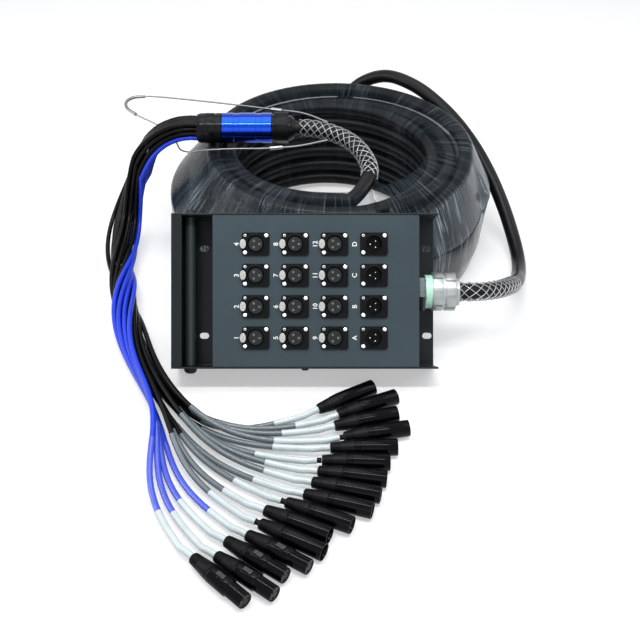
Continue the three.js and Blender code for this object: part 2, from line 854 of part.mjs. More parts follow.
function buildButton() {
  const end = plugLength - buttonFromMouth;
  const top = shellRadius + buttonProud;
  return block([-buttonWide / 2, top - buttonHeight, end - buttonLength], [buttonWide / 2, top, end]);
}

// Local Z of a plug becomes its way along the floor and local Y stays up
function layPlug(mesh, place) {
  const [x, y, degrees] = place;
  const way = plugWay(degrees);
  const up = at(0, 0, 1);
  const side = up.clone().cross(way);
  mesh.quaternion.setFromRotationMatrix(new THREE.Matrix4().makeBasis(side, up, way));
  mesh.position.set(x, y, plugZ);
}

const snake = new THREE.Group();
snake.add(stageBox);
snake.add(named('trunk_box_lead', tube(boxLeadRoute, trunkRadius, trunkSides, boxLeadSteps), cableBlack));
snake.add(named('trunk_coil', woundTube(coil, trunkRadius, coilSides), cableBlack));
snake.add(named('trunk_fan_lead', tube(fanLeadRoute, trunkRadius, trunkSides, fanLeadSteps), cableBlack));
snake.add(named('splitter_barrel', toGeometry(buildBarrel()), anodisedBlue));
snake.add(named('splitter_outlet_gland', toGeometry(buildOutlet()), socketBlack));
snake.add(named('splitter_inlet_gland', toGeometry(buildInlet()), socketBlack));
snake.add(named('pulling_bail', toGeometry(buildBail()), wireSteel));
snake.add(named('tail_loom', toGeometry(buildLoom()), cableBlack));

const malePlug = toGeometry(buildMalePlug());
const femalePlug = toGeometry(buildFemalePlug());
const plugButton = toGeometry(buildButton());
bootPlaces.forEach((place, i) => {
  const isInput = i < inputCount;
  const label = isInput ? String(i + 1).padStart(2, '0') : 'abcd'[i - inputCount];
  const plug = isInput
    ? named(`input_plug_${label}`, malePlug, plugBlack)
    : named(`return_plug_${label}`, femalePlug, plugBlack);
  layPlug(plug, place);
  snake.add(plug);
  if (!isInput) {
    const button = named(`return_plug_latch_${label}`, plugButton, latchSilver);
    layPlug(button, place);
    snake.add(button);
  }
});

let facets = 0;
snake.traverse((item) => {
  if (item.isMesh) facets += (item.geometry.index ?? item.geometry.attributes.position).count / 3;
});
console.log(`${facets} facets`);

export default snake;
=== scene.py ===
# Stage box snake: the leaning stage box, its coiled trunk in film, the splitter and the sixteen tails
import math
import random
from itertools import accumulate

import bmesh
import bpy
import numpy as np
from mathutils import Matrix, Vector


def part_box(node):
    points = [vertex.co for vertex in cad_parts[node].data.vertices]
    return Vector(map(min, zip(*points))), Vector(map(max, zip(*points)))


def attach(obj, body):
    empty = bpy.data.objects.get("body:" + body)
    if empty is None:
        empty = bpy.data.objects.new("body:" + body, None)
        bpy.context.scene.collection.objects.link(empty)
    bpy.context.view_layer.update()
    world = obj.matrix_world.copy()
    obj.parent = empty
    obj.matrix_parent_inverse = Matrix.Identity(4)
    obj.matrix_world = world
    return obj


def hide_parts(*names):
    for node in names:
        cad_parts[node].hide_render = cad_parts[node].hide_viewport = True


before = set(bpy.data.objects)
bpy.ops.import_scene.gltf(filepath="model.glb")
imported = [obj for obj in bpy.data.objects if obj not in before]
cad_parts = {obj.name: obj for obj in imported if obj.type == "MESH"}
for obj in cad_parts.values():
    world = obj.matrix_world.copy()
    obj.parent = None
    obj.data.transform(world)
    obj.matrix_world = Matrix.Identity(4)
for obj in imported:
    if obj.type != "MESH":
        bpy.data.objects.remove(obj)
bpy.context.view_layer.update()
print("frame loaded:", len(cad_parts), "nodes")

mm = 0.001
root = "snake"
scene = bpy.context.scene

# Camera as in the photograph
cameraSetup = {"place": (4.0, -896.9, 769.8), "lookDown": 39, "lens": 54.76}
cameraData = bpy.data.cameras.new("camera")
cameraData.lens = cameraSetup["lens"]
camera = bpy.data.objects.new("camera", cameraData)
camera.location = Vector(cameraSetup["place"]) * mm
camera.rotation_euler = (math.radians(90 - cameraSetup["lookDown"]), 0, 0)
scene.collection.objects.link(camera)
scene.camera = camera


# Node helpers
# A value that is a socket is linked, and any other is set on the node's own socket
def setInputs(tree, node, values):
    for key, value in values.items():
        if isinstance(value, bpy.types.NodeSocket):
            tree.links.new(value, node.inputs[key])
        else:
            node.inputs[key].default_value = value


def addNode(tree, kind, values, **settings):
    node = tree.nodes.new(kind)
    for key, value in settings.items():
        setattr(node, key, value)
    setInputs(tree, node, values)
    return node


def nodeMath(tree, operation, *values, clamp=False):
    inputs = dict(enumerate(values))
    return addNode(tree, "ShaderNodeMath", inputs, operation=operation, use_clamp=clamp).outputs[0]


def ranged(tree, field, low, high, least, most):
    values = {"Value": field, "From Min": low, "From Max": high, "To Min": least, "To Max": most}
    return addNode(tree, "ShaderNodeMapRange", values).outputs["Result"]


def noiseField(tree, place, stretch, scale, detail, distortion=0.0):
    mapped = addNode(tree, "ShaderNodeMapping", {"Vector": place, "Scale": stretch}).outputs["Vector"]
    values = {"Vector": mapped, "Scale": scale, "Detail": detail, "Distortion": distortion}
    return addNode(tree, "ShaderNodeTexNoise", values).outputs["Fac"]


def mixedColor(tree, share, first, second):
    values = {"Factor": share, "A": (*first, 1), "B": (*second, 1)}
    return addNode(tree, "ShaderNodeMix", values, data_type="RGBA").outputs["Result"]


def bumped(tree, field, strength, height):
    values = {"Height": field, "Strength": strength, "Distance": height * mm}
    return addNode(tree, "ShaderNodeBump", values).outputs["Normal"]


def newMaterial(name):
    material = bpy.data.materials.new(name)
    material.use_nodes = True
    return material, material.node_tree, material.node_tree.nodes["Principled BSDF"]


# Materials
# Color is linear, and broad is the scale of the grain's slow changes in shade and roughness
grainDetail = {"fine": 4, "broad": 3, "low": 0.3, "high": 0.7, "leastRough": 0.02}


def makeMaterial(name, grain, color, roughness, metallic=0.0, coat=0.0, specular=0.5):
    material, tree, shader = newMaterial(name)
    place = addNode(tree, "ShaderNodeTexCoord", {}).outputs["Object"]
    stretch = grain.get("stretch", (1, 1, 1))
    fine = noiseField(tree, place, stretch, grain["scale"], grainDetail["fine"])
    broad = noiseField(tree, place, stretch, grain["broad"], grainDetail["broad"])
    dark, light = [[min(c * share, 1) for c in color] for share in (1 - grain["shade"], 1 + grain["shade"])]
    smoothest = max(roughness - grain["rough"], grainDetail["leastRough"])
    roughest = min(roughness + grain["rough"], 1)
    setInputs(tree, shader, {
        "Base Color": (*color, 1), "Roughness": roughness, "Metallic": metallic, "Coat Weight": coat,
        "Specular IOR Level": specular,
    })
    setInputs(tree, shader, {
        "Base Color": mixedColor(tree, broad, dark, light),
        "Roughness": ranged(tree, broad, grainDetail["low"], grainDetail["high"], smoothest, roughest),
        "Normal": bumped(tree, fine, grain["bump"], grain["height"]),
    })
    return material


powderCoat = {"scale": 1400, "bump": 0.35, "height": 0.06, "shade": 0.15, "rough": 0.06, "broad": 12}
mouldGrain = {"scale": 2200, "bump": 0.25, "height": 0.04, "shade": 0.1, "rough": 0.07, "broad": 60}
jacketGrain = {"scale": 420, "bump": 0.1, "height": 0.03, "shade": 0.18, "rough": 0.06, "broad": 40}
platedGrain = {"scale": 700, "bump": 0.12, "height": 0.02, "shade": 0.06, "rough": 0.06, "broad": 90}
glossGrain = {"scale": 500, "bump": 0.05, "height": 0.01, "shade": 0.1, "rough": 0.03, "broad": 80}
turnedGrain = {"scale": 500, "bump": 0.04, "height": 0.01, "shade": 0.04, "rough": 0.02, "broad": 70,
               "stretch": (8, 1, 1)}

chassisPaint = makeMaterial("chassisPaint", powderCoat, (0.0095, 0.013, 0.0148), 0.34, specular=0.18)
# The handle bar has the chassis powder coat made lighter, as a painted highlight along the bar
handleLitPaint = makeMaterial("handleLitPaint", powderCoat, (0.027, 0.037, 0.037), 0.32, specular=0.3)
panelPaint = makeMaterial("panelPaint", powderCoat, (0.036, 0.054, 0.066), 0.38, specular=0.25)
socketBlack = makeMaterial("socketBlack", mouldGrain, (0.003, 0.0036, 0.0046), 0.3, specular=0.1)
insertGrey = makeMaterial("insertGrey", mouldGrain, (0.015, 0.019, 0.0185), 0.4, specular=0.18)
contactPlate = makeMaterial("contactPlate", platedGrain, (0.24, 0.24, 0.235), 0.4, 0.5)
contactMetal = makeMaterial("contactMetal", platedGrain, (0.86, 0.84, 0.8), 0.22, 1.0)
tabMetal = makeMaterial("tabMetal", platedGrain, (0.46, 0.47, 0.44), 0.34, 0.35)
screwZinc = makeMaterial("screwZinc", platedGrain, (0.9, 0.9, 0.9), 0.25, 0.85)
lockScrewZinc = makeMaterial("lockScrewZinc", platedGrain, (0.62, 0.63, 0.64), 0.34, 0.4)
printWhite = makeMaterial("printWhite", mouldGrain, (0.82, 0.82, 0.8), 0.5)
nickel = makeMaterial("nickel", turnedGrain, (0.36, 0.38, 0.39), 0.36, 0.85)
# The seat nut's steel is made dark as painted shade, for the nut lying in shadow against the box wall
seatSteelShaded = makeMaterial("seatSteelShaded", turnedGrain, (0.05, 0.056, 0.06), 0.28, 0.9)
sealMint = makeMaterial("sealMint", mouldGrain, (0.52, 0.86, 0.68), 0.34, coat=0.3)
glandNylon = makeMaterial("glandNylon", mouldGrain, (0.0045, 0.005, 0.0065), 0.24, specular=0.14)
anodisedBlue = makeMaterial("anodisedBlue", turnedGrain, (0.002, 0.046, 0.5), 0.15, 1.0, coat=0.3)
trunkJacket = makeMaterial("trunkJacket", jacketGrain, (0.0045, 0.0048, 0.0055), 0.34, specular=0.16)
tailBlack = makeMaterial("tailBlack", jacketGrain, (0.0028, 0.0028, 0.0032), 0.26, specular=0.11)
tailBlue = makeMaterial("tailBlue", jacketGrain, (0.012, 0.045, 0.62), 0.38, specular=0.35)
sleeveGrey = makeMaterial("sleeveGrey", jacketGrain, (0.1, 0.125, 0.14), 0.24, coat=0.3)
sleeveBlue = makeMaterial("sleeveBlue", jacketGrain, (0.045, 0.085, 0.6), 0.24, coat=0.4)
sleeveWhite = makeMaterial("sleeveWhite", jacketGrain, (0.55, 0.61, 0.62), 0.3, coat=0.3)
bootRubber = makeMaterial("bootRubber", mouldGrain, (0.0028, 0.003, 0.0036), 0.36, specular=0.11)
shellBlack = makeMaterial("shellBlack", glossGrain, (0.0014, 0.0016, 0.0022), 0.1, specular=0.1)
buttonBlack = makeMaterial("buttonBlack", platedGrain, (0.014, 0.014, 0.016), 0.26, 0.5, coat=0.1)
wireSteel = makeMaterial("wireSteel", platedGrain, (0.4, 0.41, 0.42), 0.3, 1.0)
bailSteel = makeMaterial("bailSteel", platedGrain, (0.24, 0.24, 0.245), 0.34, 0.85)


# Mesh helpers
def finishMesh(mesh, material, angle=35):
    mesh.materials.clear()
    mesh.materials.append(material)
    mesh.shade_smooth()
    mesh.set_sharp_from_angle(angle=math.radians(angle))


def addPiece(name, data):
    piece = bpy.data.objects.new(name, data)
    scene.collection.objects.link(piece)
    return piece


# A plain mesh of the object with its modifiers applied, which takes the object's place
def baked(holder, material, angle=35):
    bpy.context.view_layer.update()
    depsgraph = bpy.context.evaluated_depsgraph_get()
    mesh = bpy.data.meshes.new_from_object(holder.evaluated_get(depsgraph))
    bpy.data.objects.remove(holder)
    finishMesh(mesh, material, angle)
    return mesh


# Profile runs [radius, height] in mm along Z, from one end of the piece to the other
def lathe(name, profile, steps, material, angle=35):
    verts = []
    rings = []
    for radius, height in profile:
        turns = [k / steps * math.tau for k in range(steps if radius else 1)]
        rings.append(range(len(verts), len(verts) + len(turns)))
        verts += [(math.cos(t) * radius * mm, math.sin(t) * radius * mm, height * mm) for t in turns]
    faces = []
    for low, high in zip(rings, rings[1:]):
        for k in range(steps):
            n = (k + 1) % steps
            corners = (low[k % len(low)], low[n % len(low)], high[n % len(high)], high[k % len(high)])
            faces.append(tuple(dict.fromkeys(corners)))
    mesh = bpy.data.meshes.new(name)
    mesh.from_pydata(verts, [], faces)
    shape = bmesh.new()
    shape.from_mesh(mesh)
    bmesh.ops.recalc_face_normals(shape, faces=shape.faces)
    shape.to_mesh(mesh)
    shape.free()
    finishMesh(mesh, material, angle)
    return mesh


def roundedOutline(width, height, corner, steps=6, centre=(0, 0)):
    points = []
    for quarter, (sx, sy) in enumerate(((1, -1), (1, 1), (-1, 1), (-1, -1))):
        for k in range(steps + 1):
            turn = (quarter - 1) * math.pi / 2 + k / steps * math.pi / 2
            points.append((
                centre[0] + sx * (width / 2 - corner) + math.cos(turn) * corner,
                centre[1] + sy * (height / 2 - corner) + math.sin(turn) * corner,
            ))
    return points


def circleOutline(radius, steps=32, centre=(0, 0)):
    turns = [k / steps * math.tau for k in range(steps)]
    return [(centre[0] + math.cos(t) * radius, centre[1] + math.sin(t) * radius) for t in turns]


# A flat plate from low to high along Z: the first outline is its rim, the others are holes
def plate(name, outlines, low, high, material, edge=0.0):
    curve = bpy.data.curves.new(name, "CURVE")
    curve.dimensions = "2D"
    curve.fill_mode = "BOTH"
    curve.extrude = ((high - low) / 2 - edge) * mm
    curve.bevel_depth = edge * mm
    curve.bevel_resolution = 1
    curve.offset = -edge * mm
    for outline in outlines:
        spline = curve.splines.new("POLY")
        spline.points.add(len(outline) - 1)
        for point, (x, y) in zip(spline.points, outline):
            point.co = (x * mm, y * mm, 0, 1)
        spline.use_cyclic_u = True
    mesh = baked(addPiece(name, curve), material)
    mesh.transform(shift(0, 0, (low + high) / 2))
    return mesh


# Several meshes as one, each keeping its own material
def merged(name, meshes):
    materials = []
    shape = bmesh.new()
    for mesh in meshes:
        first = len(shape.faces)
        shape.from_mesh(mesh)
        shape.faces.ensure_lookup_table()
        places = []
        for material in mesh.materials:
            if material not in materials:
                materials.append(material)
            places.append(materials.index(material))
        for face in shape.faces[first:]:
            face.material_index = places[face.material_index]
    whole = bpy.data.meshes.new(name)
    shape.to_mesh(whole)
    shape.free()
    for material in materials:
        whole.materials.append(material)
    return whole


def moved(mesh, matrix):
    copy = mesh.copy()
    copy.transform(matrix)
    return copy


def shift(x, y, z):
    return Matrix.Translation(Vector((x, y, z)) * mm)


def turn(degrees, axis):
    return Matrix.Rotation(math.radians(degrees), 4, axis)


# Makes an object in the scene a piece of the part
def enrol(piece, nodes=(), body=root):
    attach(piece, body)
    if nodes:
        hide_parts(*nodes)
    return piece


def keep(name, mesh, nodes=(), body=root):
    return enrol(addPiece(name, mesh), nodes, body)


# Geometry Nodes helpers
class Tree:
    def __init__(self, name, inputs):
        self.group = bpy.data.node_groups.new(name, "GeometryNodeTree")
        sides = self.group.interface
        sides.new_socket("Geometry", in_out="INPUT", socket_type="NodeSocketGeometry")
        self.names = {}
        for label, kind in inputs.items():
            socket = sides.new_socket(label, in_out="INPUT", socket_type="NodeSocket" + kind)
            self.names[label] = socket.identifier
        sides.new_socket("Geometry", in_out="OUTPUT", socket_type="NodeSocketGeometry")
        self.inputs = self.group.nodes.new("NodeGroupInput").outputs
        self.end = self.group.nodes.new("NodeGroupOutput")

    def node(self, kind, values, **settings):
        return addNode(self.group, kind, values, **settings)

    def math(self, operation, *values):
        return nodeMath(self.group, operation, *values)

    def finish(self, geometry):
        real = self.node("GeometryNodeRealizeInstances", {"Geometry": geometry})
        values = {"Geometry": real.outputs[0], "Material": self.inputs["Material"]}
        painted = self.node("GeometryNodeSetMaterial", values)
        self.group.links.new(painted.outputs[0], self.end.inputs[0])

    # Runs the tree on holder and gives back a plain mesh
    def bake(self, holder, values, name, material, angle):
        modifier = holder.modifiers.new("tree", "NODES")
        modifier.node_group = self.group
        modifier[self.names["Material"]] = material
        for label, value in values.items():
            modifier[self.names[label]] = value
        mesh = baked(holder, material, angle)
        mesh.name = name
        return mesh


scatterTree = Tree("scatterTree", {"Piece": "Object", "Material": "Material", "Scale": "Float"})
pieceInfo = scatterTree.node("GeometryNodeObjectInfo", {"Object": scatterTree.inputs["Piece"]})
scattered = scatterTree.node("GeometryNodeInstanceOnPoints", {
    "Points": scatterTree.inputs["Geometry"],
    "Instance": pieceInfo.outputs["Geometry"],
    "Scale": scatterTree.inputs["Scale"],
})
scatterTree.finish(scattered.outputs[0])


# One copy of mesh at each place, in mm
def scatter(name, mesh, places, material, matrix=Matrix.Identity(4), angle=35):
    prototype = addPiece(name + "One", mesh)
    points = bpy.data.meshes.new(name + "Places")
    points.from_pydata([tuple(Vector(p) * mm) for p in places], [], [])
    holder = addPiece(name + "Holder", points)
    result = scatterTree.bake(holder, {"Piece": prototype, "Scale": 1.0}, name, material, angle)
    bpy.data.objects.remove(prototype)
    result.transform(matrix)
    return result


# Routes: one smooth curve through given points, with the same spacing rule as the frame's tubes
def smoothRoute(points, perSpan=8):
    points = [Vector(p) for p in points]
    ahead = [points[0] * 2 - points[1], *points, points[-1] * 2 - points[-2]]
    result = []
    for i in range(len(points) - 1):
        p0, p1, p2, p3 = ahead[i:i + 4]
        d0, d1, d2 = [(b - a).length ** 0.5 for a, b in ((p0, p1), (p1, p2), (p2, p3))]
        d1 = max(d1, 1e-4)
        d0 = d0 if d0 > 1e-4 else d1
        d2 = d2 if d2 > 1e-4 else d1
        t1 = ((p1 - p0) / d0 - (p2 - p0) / (d0 + d1) + (p2 - p1) / d1) * d1
        t2 = ((p2 - p1) / d1 - (p3 - p1) / (d1 + d2) + (p3 - p2) / d2) * d1
        for k in range(perSpan):
            u = k / perSpan
            a = p1 + t1 * u
            b = (p2 - p1) * 3 - t1 * 2 - t2
            c = (p1 - p2) * 2 + t1 + t2
            result.append(a + b * u * u + c * u * u * u)
    result.append(points[-1].copy())
    return result


# How far along the route each of its points lies
def routeDistances(points):
    return [0.0, *accumulate((b - a).length for a, b in zip(points, points[1:]))]


def routeLength(points):
    return routeDistances(points)[-1]


def pointsAt(points, wanted):
    distances = routeDistances(points)
    columns = [np.interp(wanted, distances, [p[axis] for p in points]) for axis in range(3)]
    return [Vector(p) for p in zip(*columns)]


# The same route with points a steady distance apart
def evenRoute(points, step):
    length = routeLength(points)
    count = max(int(round(length / step)), 2)
    return pointsAt(points, np.linspace(0, length, count + 1))


# The stretch of a route from start to end, in mm along it
def cutRoute(points, start, end):
    inner = [d for d in routeDistances(points) if start < d < end]
    return pointsAt(points, [start, *inner, end])


def cableCurve(name, points, radius, material, sides=4):
    curve = bpy.data.curves.new(name, "CURVE")
    curve.dimensions = "3D"
    curve.bevel_depth = radius * mm
    curve.bevel_resolution = sides
    curve.use_fill_caps = True
    spline = curve.splines.new("POLY")
    spline.points.add(len(points) - 1)
    for point, place in zip(spline.points, points):
        point.co = (*(Vector(place) * mm), 1)
    spline.use_smooth = True
    curve.materials.append(material)
    return addPiece(name, curve)


# Trunk: the gland's mouth, over the right side, the coil, and the lead into the splitter
stageBox = {
    "lean": 39, "width": 302.5, "height": 176, "depth": 55, "sheet": 2,
    "flangeLeft": 47, "flangeRight": 22, "wall": 1.6, "panelSheet": 1.6, "endLip": 12,
}
trunk = {"diameter": 18.5, "perTurn": 48}
coil = {
    "hole": 124, "layerPitch": 22.8, "turnPitch": 21.8, "rows": 7, "centreX": 20, "centreY": 244.7,
    "drift": 3, "startAngle": -93.5, "endAngle": 95, "wholeTurns": 22, "firstTurns": 5.74,
    "secondTurns": 6, "change": 0.5, "drop": 0.25, "thirdFront": 106, "fourthPitch": 22,
}
chassisLow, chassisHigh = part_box("chassis")
tilt = math.radians(90 - stageBox["lean"])
stageFrame = Matrix.Translation((
    (chassisLow.x + chassisHigh.x) / 2,
    chassisLow.y + stageBox["depth"] * mm * math.sin(tilt),
    chassisLow.z,
)) @ Matrix.Rotation(tilt, 4, "X")
wallLeft = stageBox["flangeLeft"] - stageBox["width"] / 2
wallRight = stageBox["width"] / 2 - stageBox["flangeRight"]
gland = {"thread": 8.5, "ring": 8.5, "nut": 26.5, "collar": 4.75, "ringRadius": 19.5, "nutRadius": 22,
         "collarRadius": 17, "groove": 1.2, "grooveWide": 3, "notches": 8, "notchShare": 0.16,
         "seatNut": 19.6, "seatTurn": 17, "bandTurn": 11}
glandEnd = wallRight + gland["thread"] + gland["ring"] + gland["nut"] + gland["collar"]
trunkRadius = trunk["diameter"] / 2
coilFloor = trunkRadius
coilTop = coilFloor + (coil["rows"] - 1) * coil["turnPitch"]
thirdTurns = (coil["thirdFront"] - coilFloor) / coil["turnPitch"]
coilTurns = coil["wholeTurns"] - (coil["endAngle"] - coil["startAngle"]) / 360
stretches = [
    (coil["firstTurns"], 0, coilFloor),
    (coil["change"], 1, coilFloor),
    (coil["secondTurns"], 1, coilTop),
    (coil["change"], 2, coilTop),
    (coil["drop"], 2, coil["thirdFront"]),
    (thirdTurns, 2, coilFloor),
    (coil["change"], 3, coilFloor),
]
lastTurns = coilTurns - sum(turns for turns, _, _ in stretches)
stretches.append((lastTurns, 3, coilFloor + lastTurns * coil["fourthPitch"]))


def layerRadius(layer):
    return coil["hole"] + trunkRadius + layer * coil["layerPitch"]


def layerCentreX(layer):
    return coil["centreX"] - max(layer - 1, 0) * coil["drift"]


# Where the cable's centre is after so many turns from its inner end, in mm
def coilPoint(turns):
    fromLayer, fromHeight = 0, coilTop
    left = turns
    for length, toLayer, toHeight in stretches:
        share = min(left / length, 1)
        if left <= length:
            break
        left -= length
        fromLayer, fromHeight = toLayer, toHeight
    radius = layerRadius(fromLayer) + (layerRadius(toLayer) - layerRadius(fromLayer)) * share
    centreX = layerCentreX(fromLayer) + (layerCentreX(toLayer) - layerCentreX(fromLayer)) * share
    height = fromHeight + (toHeight - fromHeight) * share
    angle = math.radians(coil["startAngle"]) - turns * math.tau
    return Vector((centreX + math.cos(angle) * radius, coil["centreY"] + math.sin(angle) * radius, height))


coilCount = int(coilTurns * trunk["perTurn"])
coilPoints = [coilPoint(i / trunk["perTurn"]) for i in range(coilCount + 1)] + [coilPoint(coilTurns)]


# The level direction in which the cable leaves the coil at this end
def coilWay(turns, step):
    way = coilPoint(turns) - coilPoint(turns + step)
    way.z = 0
    return way.normalized()


coilStart = coilPoints[0] + coilWay(0, 0.001) * trunk["diameter"]
coilEnd = coilPoints[-1] + coilWay(coilTurns, -0.001) * trunk["diameter"]
glandMouth = stageFrame @ (Vector((glandEnd, stageBox["height"] / 2, stageBox["depth"] / 2)) * mm) / mm
boxLeadRoute = [
    glandMouth,
    glandMouth + Vector((trunk["diameter"], 0, 0)),
    (208, 16, 76),
    (231, 45, 59),
    (250, 84, 37),
    (263, 128, 16),
    (270, 168, 10),
    (268, 206, 20),
    (256, 246, 48),
    (236, 285, 82),
    (210, 325, 112),
    (177, 365, 136),
    (138, 402, 152),
    (100, 432, 152),
    (66, 448, 134),
    (40, 450, 108),
    coilEnd + coilWay(coilTurns, -0.001) * trunkRadius,
    coilEnd,
]
splitter = {"radius": 19.5, "rest": 0.4, "y": 240, "left": -154, "outlet": 31.5, "barrel": 64,
            "inlet": 29.5, "gap": 0.3, "outletMouth": 16.9, "hexAcross": 37, "hexTurn": -12,
            "hexShare": 0.72, "groove": 0.6, "grooveWide": 7, "grooves": (0.29, 0.74)}
splitterZ = coilTop + trunkRadius + splitter["radius"] + splitter["rest"]
barrelX = splitter["left"] + splitter["outlet"] + splitter["gap"]
inletX = barrelX + splitter["barrel"] + splitter["gap"]
splitterRight = inletX + splitter["inlet"]
fanLeadRoute = [
    (splitterRight, splitter["y"], splitterZ),
    (splitterRight + trunk["diameter"], splitter["y"], splitterZ),
    (20, 232, 166),
    (44, 215, 162),
    (60, 190, 156),
    (66, 163, 150),
    (59, 138, 145),
    coilStart + coilWay(0, 0.001) * trunkRadius,
    coilStart,
]
boxLead = smoothRoute(boxLeadRoute, 10)
fanLead = smoothRoute(fanLeadRoute, 10)
trunkPoints = [*boxLead, *reversed(coilPoints), *reversed(fanLead)]
trunkPiece = cableCurve("trunkCable", trunkPoints, trunkRadius, trunkJacket, 5)
enrol(trunkPiece, ["trunk_box_lead", "trunk_coil", "trunk_fan_lead"])

# Tails: sixteen cables side by side out of the splitter, then each to its own plug
tails = {"radius": 3, "count": 16, "perColumn": 4, "spacing": 6.4, "leave": 16, "runIn": 42, "bend": 70,
         "spreadShare": 0.6, "fallShare": 0.7, "bootRunIn": 9, "turnStart": 90, "turn": 270,
         "turnFrom": 0.28, "turnOver": 0.6, "loose": 0.85, "looseUp": 0.3, "wander": 3.4,
         "wanderUp": 0.6, "waves": (9, 7), "gap": 0.3, "seed": 40}
settling = {"closest": 6.3, "rounds": 60, "firstFree": 12, "lastHeld": 3, "step": 9, "push": 0.25,
            "most": 1.0, "floorGap": 0.1}
plugSizes = {"length": 72, "boot": 6, "bootTop": 8.9, "bootLength": 26, "shell": 9.3, "mouth": 8.2,
             "depth": 16.5, "nose": 8.1, "noseLength": 21, "pin": 1.2, "pinSetBack": 6, "circle": 4.2,
             "hole": 1.3, "holeDepth": 5, "gap": 0.3}
bunchRoute = [
    (splitter["left"], splitter["y"], splitterZ),
    (splitter["left"] - trunk["diameter"], splitter["y"], splitterZ),
    (-197, 240, 161),
    (-219, 241, 142),
    (-237, 245, 108),
    (-251, 250, 72),
    (-262, 246, 41),
    (-267, 227, 22),
    (-264, 186, 17),
    (-256, 138, 17),
    (-248, 90, 17),
    (-238, 45, 17),
    (-225, 2, 17),
    (-205, -48, 17),
    (-184, -88, 17),
    (-163, -118, 17),
]
tailEnds = [
    (2, -116, 30), (24, -125, 24), (20, -142, 15), (30, -159, 11),
    (15, -175, 1), (6, -193, -2), (2, -208, -9), (-4, -223, -14),
    (-12, -239, -17), (-30, -250, -24), (-51, -260, -26), (-55, -277, -29),
    (-67, -291, -32), (-87, -298, -35), (-95, -316, -37), (-117, -318, -43),
]
inputCount = 12
plugZ = plugSizes["shell"] + plugSizes["gap"] / 2
up = Vector((0, 0, 1))


def plugWay(degrees):
    return Vector((math.cos(math.radians(degrees)), math.sin(math.radians(degrees)), 0))


def smoothStep(value):
    value = min(max(value, 0), 1)
    return value * value * (3 - 2 * value)


bunch = evenRoute(smoothRoute(bunchRoute, 10), 12)
bunchWay = (Vector(bunchRoute[-1]) - Vector(bunchRoute[-2])).normalized()


# The tail's own place in the bunch: its column across and its level up, in mm
def tailStart(i):
    middle = (tails["perColumn"] - 1) / 2
    aside = (middle - i // tails["perColumn"]) * tails["spacing"]
    level = (i % tails["perColumn"] - middle) * tails["spacing"]
    return aside, level


def tailRoute(i):
    t = tails
    x, y, degrees = tailEnds[i]
    way = plugWay(degrees)
    boot = Vector((x, y, plugZ)) - way * t["gap"]
    aside, level = tailStart(i)
    chance = random.Random(t["seed"] + i)
    phase, swing = chance.uniform(0, math.tau), chance.uniform(0.5, 1.0)
    route = []
    side = Vector((0, -1, 0))
    for k, centre in enumerate(bunch[:-1]):
        share = k / (len(bunch) - 1)
        ahead = (bunch[k + 1] - bunch[max(k - 1, 0)]).normalized()
        beside = up.cross(ahead)
        # Where the bunch runs steeply, the side stays as it was
        if beside.length >= 0.2:
            side = beside.normalized()
        lift = ahead.cross(side)
        turned = smoothStep((share - t["turnFrom"]) / t["turnOver"])
        angle = math.radians(t["turnStart"] + t["turn"] * turned)
        loose = 1 + t["loose"] * math.sin(math.pi * share) ** 2
        a = (aside * math.cos(angle) - level * math.sin(angle)) * loose
        b = (aside * math.sin(angle) + level * math.cos(angle)) * (1 + (loose - 1) * t["looseUp"])
        swell = math.sin(math.pi * share) * swing * t["wander"]
        a += math.sin(phase + share * t["waves"][0]) * swell
        b += math.cos(phase * 2 + share * t["waves"][1]) * swell * t["wanderUp"]
        point = centre + side * a + lift * b
        point.z = max(point.z, t["radius"] + t["gap"])
        route.append(point)
    across = Vector((-bunchWay.y, bunchWay.x, 0))
    start = Vector(bunchRoute[-1]) + across * aside + up * level
    leave = start + bunchWay * t["leave"]
    spread = boot - way * (t["bend"] + t["runIn"])
    middle = leave.lerp(spread, t["spreadShare"])
    middle.z = start.z + (t["radius"] + t["gap"] - start.z) * t["fallShare"]
    approach = boot - way * t["runIn"]
    approach.z = (t["radius"] + plugZ) / 2
    last = boot - way * t["bootRunIn"]
    free = smoothRoute([route[-2], route[-1], start, leave, middle, approach, last, boot], 8)
    return [*route[:-2], *free[8:]]


# Pushes neighbouring tails apart a little at a time, and keeps their ends where they are
def settle(routes):
    s = settling
    even = [np.array([tuple(p) for p in evenRoute(route, s["step"])]) for route in routes]
    owner = np.concatenate([np.full(len(route), i) for i, route in enumerate(even)])
    points = np.concatenate(even)
    places = [np.arange(len(route)) for route in even]
    free = np.concatenate([(p > s["firstFree"]) & (p < len(p) - s["lastHeld"]) for p in places])
    for _ in range(s["rounds"]):
        apart = points[:, None, :] - points[None, :, :]
        distance = np.sqrt((apart ** 2).sum(2)) + 1e-6
        near = (distance < s["closest"]) & (owner[:, None] != owner[None, :])
        push = np.where(near, (s["closest"] - distance) * s["push"], 0)[:, :, None]
        push = push * apart / distance[:, :, None]
        points += np.clip(push.sum(1), -s["most"], s["most"]) * free[:, None]
        smooth = points.copy()
        same = (owner[2:] == owner[:-2]) & free[1:-1]
        smooth[1:-1][same] = (points[:-2] + points[2:] + points[1:-1] * 2)[same] / 4
        points = smooth
        points[:, 2] = np.maximum(points[:, 2], tails["radius"] + s["floorGap"])
    return [[Vector(p) for p in points[owner == i]] for i in range(len(routes))]


tailRoutes = settle([tailRoute(i) for i in range(tails["count"])])
sleeves = {"white": 60, "whiteRadius": 3.9, "grey": 104, "greyRadius": 3.45, "spread": 13, "overlap": 3,
           "bareEnd": 5, "bareTails": (3, 5, 9, 11), "seed": 90}
plugLabels = [f"{n:02d}" for n in range(1, inputCount + 1)] + list("abcd")
print("tails routed")


def plugPlace(i):
    x, y, degrees = tailEnds[i]
    way = plugWay(degrees)
    return shift(x, y, plugZ) @ Matrix((up.cross(way), up, way)).transposed().to_4x4()


